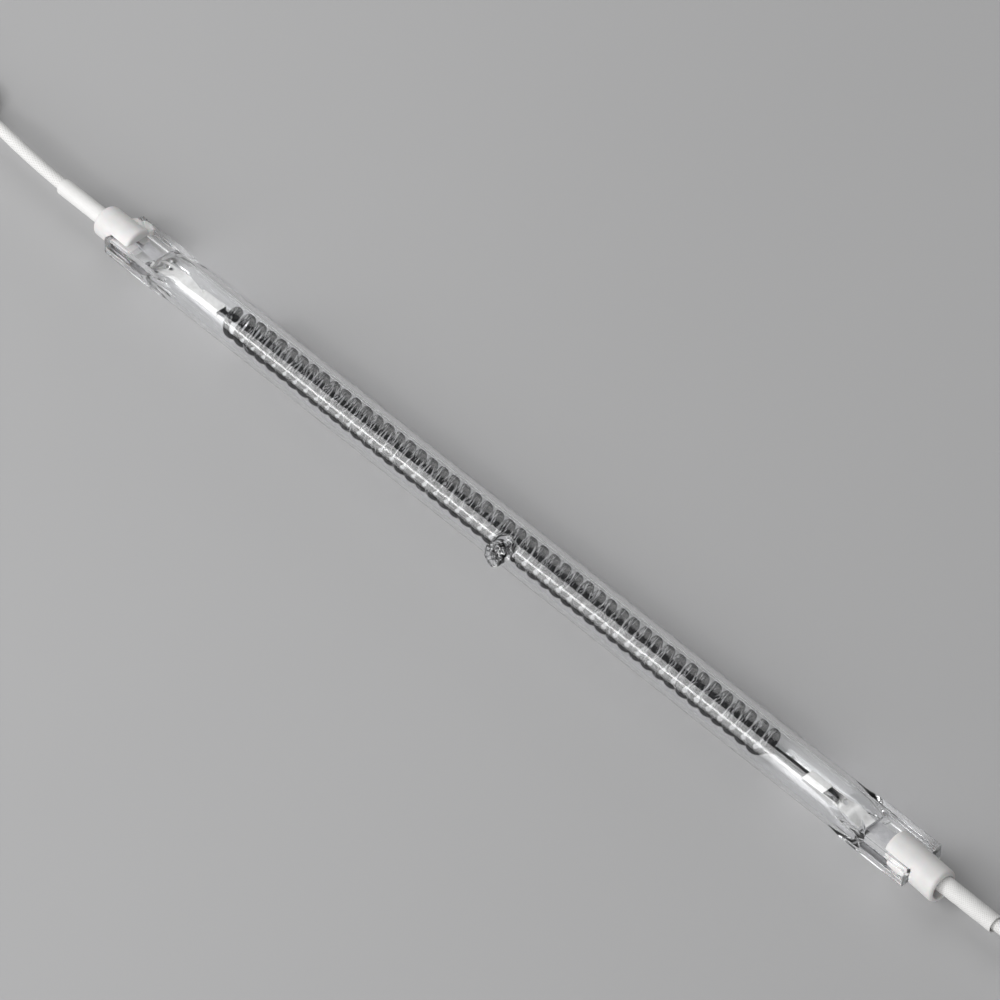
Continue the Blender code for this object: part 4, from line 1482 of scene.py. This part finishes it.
@dataclass
class EndFittings:
    """What one end of the lamp holds between the coil and its lead."""

    axis: LampAxis
    side: Side
    places: EndPlaces
    glass_end: float = 114.0 * MM
    # Clamp and strip
    sheet: float = 0.2 * MM
    half_sheet: float = 1.4 * MM
    clamp_end: float = 89.6 * MM
    clamp_half_z: float = 0.62 * MM
    pressed_in: float = 0.05 * MM
    channel_start: float = 89.5 * MM
    lip: float = 0.85 * MM
    strip_arch: float = 0.4 * MM
    strip_swell: float = 0.25 * MM
    # Foil, pin and ferrule
    foil_end: float = 108.4 * MM
    foil_middle: float = 0.06 * MM
    foil_edge: float = 0.004 * MM
    foil_ridge: float = 0.012 * MM
    pin_start: float = 108.0 * MM
    pin_end: float = 118.5 * MM
    pin_radius: float = 0.45 * MM
    ferrule_start: float = 117.0 * MM
    ferrule_length: float = 5.4 * MM
    ferrule_outer: float = 1.05 * MM
    ferrule_inner: float = 0.75 * MM
    ferrule_waist: float = 0.15 * MM
    # Cap and sleeve
    cap_radius: float = 3.5 * MM
    cap_front: float = 0.7 * MM
    cap_rim: float = 0.75 * MM
    cap_hole: float = 2.15 * MM
    hole_past_glass: float = 2.7 * MM
    slot_past_glass: float = 0.15 * MM
    web_half: float = 1.38 * MM
    slot_gap: float = 0.02 * MM
    voxel: float = 0.13 * MM
    sleeve_start: float = 117.15 * MM
    sleeve_end: float = 133.05 * MM
    sleeve_outer: float = 1.8 * MM
    sleeve_inner: float = 1.58 * MM
    sleeve_wave: float = 0.03 * MM

    def add(self, name: str, grids: list[tuple[Array, dict]], finish: Material, slot: str,
            node: str) -> Piece:
        """Make one piece of skins about the axis, named for its end.

        Args:
            name: its name without the end.
            grids: its grids, each with its lane's options.
            finish: its material.
            slot: the record's material slot.
            node: the node that it stands for, without the end.

        Returns:
            The dressed piece.
        """
        patches = [self.axis.lay(grid, self.side, **options) for grid, options in grids]
        piece = mesh_object(f"{name}_{self.side.label}", patches)
        return dress(piece, finish, slot, f"{node}_{self.side.label}")

    def build_clamp(self, finish: Material) -> Piece:
        """Make the folded sheet sleeve round the coil's tail, pressed in at two places.

        Args:
            finish: the sheet's metal.

        Returns:
            The clamp.
        """
        outer = rounded_box(self.half_sheet, self.clamp_half_z, 0.22 * MM)
        inner = rounded_box(self.half_sheet - self.sheet, self.clamp_half_z - self.sheet, 0.08 * MM)
        start = self.places.clamp_start
        length = self.clamp_end - start
        x = start + length * np.linspace(0.0, 1.0, 33)
        share = (x - start) / length
        press = self.pressed_in * (bell((share - 0.3) / 0.09) + bell((share - 0.7) / 0.09))

        def pressed(section: Array) -> Array:
            """Grid of a section whose top and bottom are pushed in near the middle."""
            middle = bell(section[:, 0] / (0.55 * MM)) * np.sign(section[:, 1])
            return points_of(x[:, None], section[:, 0], section[:, 1] - press[:, None] * middle)

        grid = np.concatenate([pressed(outer), pressed(inner)[::-1]])
        piece = self.add("coil_clamp_folded", [tube_wall(grid)], finish, "bright_nickel",
                         "coil_clamp")
        soften(piece, 0.05 * MM)
        return piece

    def build_strip(self, finish: Material) -> Piece:
        """Make one sheet: a channel with two lips, then a rising, arched strip to the foil.

        The strip's height is a smooth step plus a squared sine of its run. It swells by another
        squared sine to its widest a third of the way, and narrows again towards the foil.

        Args:
            finish: the sheet's metal.

        Returns:
            The connector strip.
        """
        begin = self.places.channel_end
        length = self.places.strip_end - begin
        floor = self.sheet / 2 - self.clamp_half_z
        share = np.linspace(0.0, 1.0, 34)
        arch = self.strip_arch * np.sin(math.pi * share**0.8) ** 2
        channel = np.linspace(self.channel_start, begin - 0.05 * MM, 9)
        x = np.concatenate([channel, begin + length * share])
        z = np.concatenate([np.full(9, floor), floor * (1 - ease(share / 0.5)) + arch])
        along = np.clip((x - begin) / length, 0.0, 1.0)
        swell = self.strip_swell * np.sin(math.pi * along**0.7) ** 2
        half, thick = self.half_sheet - 0.02 * MM + swell, self.sheet / 2
        folded = 1 - ease((x - begin + 0.1 * MM) / (0.5 * MM))
        lip = thick + 0.01 * MM + self.lip * folded
        inner = half - self.sheet
        corners = [(half, -thick), (half, lip), (inner, lip), (inner, thick),
                   (-inner, thick), (-inner, lip), (-half, lip), (-half, -thick)]
        outline = np.stack([points_of(*corner) for corner in corners], axis=1)
        outline[..., 1] += z[:, None]
        piece = self.add("connector_sheet", [(extrude(outline, x), {})], finish, "bright_nickel",
                         "connector_strip")
        soften(piece, 0.04 * MM)
        return piece

    def build_foil(self, finish: Material) -> Piece:
        """Make the lens-shaped foil, with feathered edges and faint lengthwise ridges.

        Args:
            finish: the foil's metal.

        Returns:
            The foil.
        """
        across = np.linspace(-1.0, 1.0, 33)
        thick = self.foil_middle * (1 - across**2) ** 0.7 + self.foil_edge
        ridge = self.foil_ridge * np.sin(across * 17.0) * (1 - across**2)
        wide = across * self.places.foil_half
        outline = np.vstack([points_of(wide, thick + ridge)[::-1],
                             points_of(wide, -thick + ridge)[1:-1]])
        x = np.linspace(self.places.foil_start, self.foil_end, 12)
        sections = np.broadcast_to(outline, (len(x), *outline.shape)).copy()
        sections[..., 0] += self.places.foil_across
        sections[..., 1] += 0.02 * MM * np.sin(x / (1.3 * MM))[:, None]
        return self.add("sealed_foil", [(extrude(sections, x), {})], finish, "molybdenum", "foil")

    def build_pin(self, finish: Material) -> Piece:
        """Make the round pin, with a flattened weld end on the foil.

        Args:
            finish: the pin's metal.

        Returns:
            The pin.
        """
        x = np.concatenate([
            np.linspace(self.pin_start, self.pin_start + 1.4 * MM, 8),
            np.linspace(self.pin_start + 1.6 * MM, self.pin_end - 0.1 * MM, 6),
            [self.pin_end],
        ])
        rounded = ease((x - self.pin_start) / (1.2 * MM))
        radius = np.full(len(x), self.pin_radius)
        radius[-1] = 0.8 * self.pin_radius
        ring = circle(1.0, 20)
        sections = points_of(ring[:, 0] * (radius * (1.25 - 0.25 * rounded))[:, None],
                             ring[:, 1] * (radius * (0.35 + 0.65 * rounded))[:, None])
        return self.add("drawn_pin", [(extrude(sections, x), {})], finish, "molybdenum",
                        "outer_pin")

    def build_ferrule(self, finish: Material) -> Piece:
        """Make the crimped ferrule: a sleeve with a squeezed waist.

        Args:
            finish: the ferrule's metal.

        Returns:
            The ferrule.
        """
        share = np.linspace(0.0, 1.0, 25)
        waist = self.ferrule_waist * ease((0.5 - np.abs(share - 0.5) - 0.2) / 0.12)
        x = self.ferrule_start + self.ferrule_length * share
        profile = np.vstack([points_of(x, self.ferrule_outer - waist),
                             points_of(x[::-1], self.ferrule_inner)])
        return self.add("crimped_ferrule", [tube_wall(turned(profile, 32))], finish,
                        "bright_nickel", "splice_ferrule")

    def cap_body(self) -> Array:
        """Turned body of the cap with its rounded front, its rim and its hole.

        The right cap hangs a little on its sleeve: its rows move down and to the front by a
        share of the sag that grows towards the open end, and its hole is wider for it.

        Returns:
            The grid about the lamp's axis.
        """
        radius, front, rim = self.cap_radius, self.cap_front, self.cap_rim
        start, end, sag = self.places.cap_start, self.places.cap_end, self.places.cap_sag
        turn = np.linspace(0.0, QUARTER, 9)
        cos, sin = np.cos(turn), np.sin(turn)
        hole = self.cap_hole + 0.7 * sag
        profile = np.vstack([
            points_of(start + front * (1 - sin), radius - front * (1 - cos))[::-1],
            points_of(end - rim + rim * sin, radius - rim + rim * cos),
            [(end, hole + 0.2 * MM), (end - 0.2 * MM, hole)],
            [(self.glass_end + self.hole_past_glass, hole)],
        ])
        grid = turned(profile, 96)
        hang = sag * np.clip((grid[..., 0] - start) / (end - start), 0.0, 1.0)
        grid[..., 1:] -= hang[..., None]
        return grid

    def build_cap(self, finish: Material) -> Piece:
        """Make the moulded cap: its body less the slot over the web, softened all round.

        The slot is cut with a Boolean, the result remeshed in small voxels and smoothed, and
        the evaluated mesh becomes the piece's own.

        Args:
            finish: the ceramic.

        Returns:
            The cap.
        """
        body = mesh_object("cap_body", [self.axis.lay(self.cap_body(), self.side)])
        slot_box = rounded_box(6.0 * MM, self.web_half + self.slot_gap, 0.1 * MM)
        slot_ends = (self.places.cap_start - MM, self.glass_end + self.slot_past_glass)
        slot = extrude(slot_box, np.array(slot_ends))
        cutter = mesh_object("cap_slot", [self.axis.lay(slot, self.side)])
        cutting = body.modifiers.new("slot", "BOOLEAN")
        cutting.object = cutter
        cutting.solver = "EXACT"
        moulding = body.modifiers.new("moulding", "REMESH")
        moulding.mode = "VOXEL"
        moulding.voxel_size = self.voxel
        moulding.use_smooth_shade = True
        easing = body.modifiers.new("easing", "SMOOTH")
        easing.factor = 0.5
        easing.iterations = 5
        finished = body.evaluated_get(bpy.context.evaluated_depsgraph_get())
        shape = bpy.data.meshes.new_from_object(finished)
        piece = stand(f"slotted_cap_{self.side.label}", shape)
        for helper in (body, cutter):
            bpy.data.objects.remove(helper)
        return dress(piece, finish, "white_ceramic", f"ceramic_cap_{self.side.label}")

    def build_cement(self, finish: Material) -> Piece:
        """Cement behind the pinch: a plug inside the cap, and what ran out of it."""
        grids = [(lump.grid(), {}) for lump in (PLUG, *SQUEEZED[self.side])]
        return self.add("set_cement", grids, finish, "white_cement", "cement")

    def build_sleeve(self, finish: Material) -> Piece:
        """Make the insulating sleeve over the splice: a rounded lip and a slightly uneven wall.

        Args:
            finish: the braid.

        Returns:
            The sleeve.
        """
        start, end = self.sleeve_start, self.sleeve_end
        outer, inner = self.sleeve_outer, self.sleeve_inner
        lip = np.linspace(0.0, math.pi, 9)
        middle, half = (outer + inner) / 2, (outer - inner) / 2
        profile = np.vstack([
            points_of(np.linspace(start, end - half, 60), outer),
            points_of(end - half + half * np.sin(lip), middle + half * np.cos(lip))[1:-1],
            points_of(np.linspace(end - half, start, 12), inner),
        ])
        grid = turned(profile, 48)
        wave = ripple(grid, 2.4 * MM, 21 + self.side.value) * self.sleeve_wave
        grid = grid + unit(grid * [0.0, 1.0, 1.0]) * wave[..., None]
        outside = ease((grid[..., 0] - 119 * MM) / (6 * MM))
        grid[..., 2] *= 1 - self.places.sleeve_flat * outside
        wall = tube_wall(grid, lengths=(1.0, len(profile) / 4.0))
        return self.add("braided_sleeve", [wall], finish, "glass_braid", "lead_sleeve")


# Way of each lead from its sleeve to its hank, as (away from the middle, across, up)
ROUTES = {
    Side.LEFT: MM * np.array([
        (125.0, 0.0, 5.0), (132.5, 0.1, 5.0), (137.5, 0.2, 5.0), (142.0, 0.4, 5.0),
        (147.0, 0.7, 5.0), (152.0, 1.1, 5.0), (156.0, 1.4, 4.9), (160.0, 1.5, 4.5),
        (164.0, 1.4, 4.2), (169.0, 1.0, 4.2), (174.0, 0.5, 4.2), (179.0, 0.1, 4.2),
        (184.5, 0.0, 4.2),
    ]),
    Side.RIGHT: MM * np.array([
        (125.0, 0.0, 5.0), (129.0, 0.1, 5.0), (133.0, 0.2, 5.0), (137.0, 0.3, 4.9),
        (141.0, 0.4, 4.5), (145.0, 0.4, 4.2), (150.0, 0.3, 4.2), (155.0, 0.1, 4.2),
        (161.0, 0.0, 4.2), (166.5, 0.0, 4.2),
    ]),
}

# Each hank's near end and half its length
HANKS = {Side.LEFT: (162.5 * MM, 27.0 * MM), Side.RIGHT: (143.5 * MM, 28.5 * MM)}


@dataclass
class Lead:
    """A free lead with its hank, the tie round it, and the terminal on its far end."""

    axis: LampAxis
    side: Side
    route: Array
    near: float
    half_run: float
    radius: float = 1.3 * MM
    start: float = 124.0 * MM
    step: float = 0.4 * MM
    strand_pitch: float = 2.3 * MM
    # Hank
    fold: float = 8.1 * MM
    pitch: float = 1.35 * MM
    flat: float = 1.0 * MM
    top: float = 4.2 * MM
    # Tie
    tie_half: float = 1.6 * MM
    tie_thick: float = 0.5 * MM
    tie_inner: float = 2.95 * MM
    tie_low: float = 0.5 * MM
    tie_high: float = 5.8 * MM
    tail_length: float = 6.4 * MM
    # Terminal and its sleeve
    terminal_start: float = 9.5 * MM
    terminal_height: float = 1.95 * MM
    crimp_length: float = 6.6 * MM
    crimp_outer: float = 1.95 * MM
    crimp_inner: float = 1.4 * MM
    barrel: float = 1.35 * MM
    barrel_length: float = 4.2 * MM
    tongue: float = 3.4 * MM
    ring_outer: float = 3.7 * MM
    ring_hole: float = 2.15 * MM
    ring_low: float = 0.6 * MM
    ring_high: float = 1.4 * MM
    ring_edge: float = 0.08 * MM

    @property
    def middle(self) -> float:
        """Distance of the hank's waist from the middle of the tube."""
        return self.near + self.half_run

    @property
    def crimp(self) -> float:
        """Distance of the terminal sleeve's mouth from the middle of the tube."""
        return self.middle + self.terminal_start

    def lay(self, grid: Array, lift: float = 0.0, **options: object) -> Patch:
        """A skin over a grid made for the right-hand lead, lifted and moved to its own side."""
        placed = grid * [self.side.value, 1.0, 1.0] + [0.0, self.axis.y, lift]
        return lane(placed[:: self.side.value], **options)

    def outer_strand(self, u: Array) -> Array:
        """How far a strand of the hank lies from its middle line, u from the waist."""
        share = (np.abs(u) - self.flat) / (self.half_run - self.fold - self.flat)
        return self.pitch + (self.fold - self.pitch) * ease(share)

    def hank_line(self) -> Array:
        """The lead's way through its hank.

        Out on top of the waist and down to the end fold, half a circle round it, back through
        the waist to the lamp-side fold, half a circle there, and back into the terminal.

        Returns:
            Points (away from the waist, across, up).
        """
        turn, fold, low = self.half_run - self.fold, self.fold, self.radius
        out = np.linspace(0.0, turn, 24)
        sink = self.top - (self.top - low) * ease((out - 5.0 * MM) / (12.5 * MM))
        arc = np.linspace(-QUARTER, QUARTER, 17)[1:-1]
        back = np.linspace(turn, -turn, 41)
        home = np.linspace(-turn, 0.0, 21)
        last = np.linspace(0.0, self.terminal_start + 1.2 * MM, 9)[1:]
        slide = ease(last / (8.0 * MM))
        return np.vstack([
            points_of(out, -fold * ease(out / turn), sink)[1:],
            points_of(turn + fold * np.cos(arc), fold * np.sin(arc), low),
            points_of(back, self.outer_strand(back), low),
            points_of(-turn - fold * np.cos(arc), -fold * np.sin(arc), low),
            points_of(home, -self.outer_strand(home), low),
            points_of(last, -self.pitch * (1 - slide), low + (self.terminal_height - low) * slide),
        ])

    def line(self) -> Array:
        """The lead's whole middle line, from inside the sleeve to the terminal.

        Returns:
            Points one step apart, in the frame.
        """
        start, waist = (self.start, 0.0, 5.0 * MM), (self.middle, 0.0, self.top)
        hank = self.hank_line() + [self.middle, 0.0, 0.0]
        points = np.vstack([start, self.route, waist, hank]) * [self.side.value, 1.0, 1.0]
        return spline(points + [0.0, self.axis.y, 0.0], self.step)

    def build(self, finish: Material) -> Piece:
        """Make the braided lead as a tube along its line, slightly uneven in thickness.

        Args:
            finish: the braid.

        Returns:
            The lead with its hank.
        """
        path = self.line()
        grid = sweep(path, circle(self.radius, 28), UP)
        run = np.arange(len(path))[:, None, None] * self.step
        uneven = 1 + 0.012 * np.sin(run / (3.1 * MM)) + 0.008 * np.sin(run / (1.3 * MM))
        grid = path[:, None, :] + (grid - path[:, None, :]) * uneven
        patch = lane(grid, lengths=(1.0, path_length(path) / self.strand_pitch))
        label = self.side.label
        piece = mesh_object(f"braided_lead_{label}", [patch], sharp=None)
        return dress(piece, finish, "glass_braid", f"lead_{label}", f"hank_{label}")

    def tie_tail(self) -> Array:
        """The tie's twisted tail: a flat oval that makes three turns along the hank's waist.

        Returns:
            The grid, for the right-hand lead.
        """
        share = np.linspace(-0.5, 0.5, 49)
        wide = np.interp(np.abs(share), [0.0, 0.2, 0.45, 0.5], [0.55, 0.6, 0.45, 0.25]) * MM
        ring = circle(1.0, 16)
        y, z = ring[:, 0] * wide[:, None], ring[:, 1] * (0.55 * wide)[:, None]
        twist = (share * 6 * math.pi)[:, None]
        cos, sin = np.cos(twist), np.sin(twist)
        section = points_of(y * cos - z * sin, y * sin + z * cos + self.tie_high + 0.85 * MM)
        return extrude(section, self.middle + self.tail_length * share)

    def build_tie(self, finish: Material) -> Piece:
        """Make the flat band round the waist, with its twisted tail lying on top.

        Args:
            finish: the plastic.

        Returns:
            The tie.
        """
        half_z, middle_z = (self.tie_high - self.tie_low) / 2, (self.tie_low + self.tie_high) / 2
        outer = rounded_box(self.tie_inner + self.tie_thick, half_z + self.tie_thick, 1.3 * MM, 8)
        inner = rounded_box(self.tie_inner, half_z, 0.8 * MM, 8)
        stations = self.middle + self.tie_half * np.array([-1.0, -1.0, 1.0, 1.0])
        band = extrude(np.stack([inner, outer, outer, inner]), stations) + [0.0, 0.0, middle_z]
        patches = [self.lay(band, caps=(False, False), loop=True), self.lay(self.tie_tail())]
        piece = mesh_object(f"twist_tie_{self.side.label}", patches)
        soften(piece, 0.1 * MM, 50.0)
        return dress(piece, finish, "white_plastic", f"hank_tie_{self.side.label}")

    def build_terminal(self, finish: Material) -> Piece:
        """Make the ring terminal: a crimped barrel that flattens into a tongue, and its ring.

        Along the barrel the section goes from a circle to a squarer oval by one smooth step,
        with a bell-shaped dent; the ring is a bevelled section carried round the hole.

        Args:
            finish: the tinned copper.

        Returns:
            The terminal.
        """
        barrel_end = self.crimp + self.crimp_length + 1.35 * MM
        barrel_start = barrel_end - self.barrel_length
        centre = barrel_end + self.tongue
        x = barrel_start + (centre - 2.5 * MM - barrel_start) * np.linspace(0.0, 1.0, 33)
        flat = ease((x - barrel_end + 0.4 * MM) / (1.3 * MM))
        dent = 0.3 * MM * bell((x - barrel_start - 2.0 * MM) / (0.7 * MM))
        half_y = self.barrel - 0.05 * MM * flat + dent * 0.3
        half_z = self.barrel * (1 - flat) + 0.4 * MM * flat - dent
        middle_z = self.terminal_height * (1 - flat) + 1.0 * MM * flat
        ring = circle(1.0, 32)
        power = (1.0 - 0.55 * flat)[:, None]
        barrel = points_of(x[:, None],
                           powered(ring[:, 0], power) * half_y[:, None],
                           powered(ring[:, 1], power) * half_z[:, None] + middle_z[:, None])
        outer, hole, low, high = self.ring_outer, self.ring_hole, self.ring_low, self.ring_high
        edge = self.ring_edge
        profile = np.array([
            (hole, low + edge), (hole + edge, low), (outer - edge, low), (outer, low + edge),
            (outer, high - edge), (outer - edge, high), (hole + edge, high), (hole, high - edge),
        ])
        turn = np.linspace(0.0, FULL, 96, endpoint=False)[:, None]
        plate = points_of(centre + profile[:, 0] * np.cos(turn), profile[:, 0] * np.sin(turn),
                          profile[:, 1])
        patches = [self.lay(barrel),
                   self.lay(plate, caps=(False, False), loop=True, outward=False)]
        piece = mesh_object(f"tinned_terminal_{self.side.label}", patches, sharp=55.0)
        return dress(piece, finish, "tinned_copper", f"ring_terminal_{self.side.label}")

    def build_terminal_sleeve(self, finish: Material) -> Piece:
        """Make the plastic sleeve over the crimp, its wall rounded at both ends.

        Args:
            finish: the plastic.

        Returns:
            The terminal's sleeve.
        """
        begin, end = self.crimp, self.crimp + self.crimp_length
        turn = np.linspace(0.0, math.pi, 9)
        half = (self.crimp_outer - self.crimp_inner) / 2
        mid = (self.crimp_outer + self.crimp_inner) / 2
        profile = np.vstack([
            points_of(begin + half - half * np.sin(turn), mid - half * np.cos(turn)),
            points_of(end - half + half * np.sin(turn), mid + half * np.cos(turn)),
        ])
        patch = self.lay(turned(profile, 40), self.terminal_height, caps=(False, False), loop=True)
        piece = mesh_object(f"crimp_sleeve_{self.side.label}", [patch], sharp=None)
        return dress(piece, finish, "white_plastic", f"terminal_sleeve_{self.side.label}")

    def declare(self) -> None:
        """Work out the lead's middle line, and keep nothing of it.
        """
        path = self.line()


# Stage


def aim(name: str, data: bpy.types.ID, axes: tuple[Array, Array, Array], place: Array) -> Piece:
    """Stand a camera or a lamp in the scene.

    Args:
        name: its name.
        data: its camera or light.
        axes: the directions of its right, its top and its back.
        place: where it stands.

    Returns:
        The object.
    """
    pose = np.eye(4)
    pose[:3, :3] = np.stack(axes, axis=1)
    pose[:3, 3] = place
    made = stand(name, data)
    made.matrix_world = Matrix(pose.tolist())
    return made


@dataclass(frozen=True)
class Viewpoint:
    """The photograph's camera: where it looks from, its tilt and its lens."""

    azimuth: float = math.radians(55.48)
    elevation: float = math.radians(52.03)
    tilt: float = math.radians(-10.66)
    distance: float = 1.170
    target: Point = (-7.2 * MM, 6.478 * MM, 4.0 * MM)
    lens: float = 216.0
    nearest: float = 0.05
    farthest: float = 50.0

    def build(self) -> None:
        """Make the scene's camera, turned about its own line of sight by the tilt."""
        a, e = self.azimuth, self.elevation
        back = np.array([math.sin(a) * math.cos(e), -math.cos(a) * math.cos(e), math.sin(e)])
        level = np.array([math.cos(a), math.sin(a), 0.0])
        up = np.cross(back, level)
        right = math.cos(self.tilt) * level + math.sin(self.tilt) * up
        top = -math.sin(self.tilt) * level + math.cos(self.tilt) * up
        data = bpy.data.cameras.new("camera")
        data.lens = self.lens
        data.clip_start = self.nearest
        data.clip_end = self.farthest
        place = np.array(self.target) + back * self.distance
        bpy.context.scene.camera = aim("camera", data, (right, top, back), place)


@dataclass(frozen=True)
class Softbox:
    """A rectangular lamp that faces the tube from a height in degrees, and stands aside along X."""

    name: str
    radiance: float
    elevation: float
    distance: float
    length: float
    height: float
    along: float
    side: Stand = Stand.FRONT

    def build(self) -> None:
        """Make the lamp: its power gives the wanted radiance over its area."""
        data = bpy.data.lights.new(self.name, "AREA")
        data.shape = "RECTANGLE"
        data.size = self.length
        data.size_y = self.height
        data.energy = self.radiance * self.length * self.height * math.pi
        rise = math.radians(self.elevation)
        back = np.array([0.0, self.side.value * math.cos(rise), math.sin(rise)])
        right = ALONG * -self.side.value
        place = back * self.distance + [self.along, 0.0, 0.0]
        aim(self.name, data, (right, np.cross(back, right), back), place)


@dataclass
class Studio:
    """Floor, world and lamps."""

    floor_half: float = 4.0
    floor_drop: float = 0.05 * MM
    world: float = 0.2
    lamps: tuple[Softbox, ...] = field(default_factory=lambda: (
        Softbox("key_core", 8.0, 38.6, 0.85, 0.36, 0.12, along=-0.515),
        Softbox("key_glow", 4.0, 38.6, 0.87, 0.36, 1.1, along=-0.525),
        Softbox("wide_front", 1.42, 38.0, 1.3, 2.2, 1.3, along=0.5),
        Softbox("overhead", 1.4, 58.0, 1.3, 1.1, 1.0, along=-0.75, side=Stand.BACK),
        Softbox("thin_back", 3.0, 16.5, 1.2, 0.7, 0.1, along=-0.7, side=Stand.BACK),
    ))

    def build(self) -> None:
        """Set the view, light the scene and lay the floor."""
        scene = bpy.context.scene
        scene.view_settings.view_transform = "Standard"
        world = bpy.data.worlds.new("studio")
        world.use_nodes = True
        background = world.node_tree.nodes["Background"]
        background.inputs["Color"].default_value = (1.0, 1.0, 1.0, 1.0)
        background.inputs["Strength"].default_value = self.world
        scene.world = world
        for lamp in self.lamps:
            lamp.build()
        corners = self.floor_half * np.array([(-1.0, -1.0), (1.0, -1.0), (1.0, 1.0), (-1.0, 1.0)])
        points = points_of(corners[:, 0], corners[:, 1], -self.floor_drop)
        patch = Patch(points, [np.array([[0, 1, 2, 3]])], [np.zeros((1, 4, 2))])
        floor = mesh_object("floor", [patch])
        floor.data.materials.append(FloorPaint().build())


def main() -> None:
    """Build the stage, then every piece in order, and report each one."""
    logging.basicConfig(level=logging.INFO, format="%(name)s: %(message)s")
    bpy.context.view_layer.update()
    Viewpoint().build()
    Studio().build()
    axis = LampAxis.from_frame()

    nickel = SheetMetal("bright_nickel", (0.76, 0.757, 0.75), (0.64, 0.635, 0.625), (0.42, 0.62))
    grey = SheetMetal("grey_molybdenum", (0.46, 0.46, 0.475), (0.38, 0.38, 0.395), (0.3, 0.5))
    tin = SheetMetal("tinned_copper", (0.74, 0.73, 0.71), (0.62, 0.61, 0.58), (0.24, 0.42))
    set_white = Ceramic("white_cement", (0.79, 0.78, 0.765), (0.73, 0.715, 0.7),
                        0.3 * MM, 0.08 * MM, (0.7, 0.95))
    # Each sleeve's second colour is painted shade in the gaps of its weave
    sleeving = {
        Side.LEFT: Braid("smooth_sleeving", 22.0, 2.6, (0.84, 0.835, 0.825), (0.73, 0.72, 0.705),
                         0.025 * MM),
        Side.RIGHT: Braid("woven_sleeving", 18.0, 2.2, (0.84, 0.835, 0.825), (0.62, 0.61, 0.595),
                          0.06 * MM),
    }
    sheet, molybdenum, tinned = nickel.build(), grey.build(), tin.build()
    ceramic, cement = Ceramic().build(), set_white.build()
    braid, plastic = Braid().build(), Plastic().build()

    Envelope(axis).build(Quartz().build())
    coil = Coil(axis)
    coil.build_rope(CarbonFibre().build())
    coil.build_hairs(LooseFibre().build())
    for side in Side:
        end = EndFittings(axis, side, PLACES[side])
        end.build_clamp(sheet)
        end.build_strip(sheet)
        end.build_foil(molybdenum)
        end.build_pin(molybdenum)
        end.build_ferrule(sheet)
        end.build_cap(ceramic)
        end.build_cement(cement)
        end.build_sleeve(sleeving[side].build())
        lead = Lead(axis, side, ROUTES[side], *HANKS[side])
        tube = lead.build(braid)
        ends = [lead.build_tie(plastic), lead.build_terminal(tinned),
                lead.build_terminal_sleeve(plastic)]
        lead.declare()


if __name__ == "__main__":
    main()
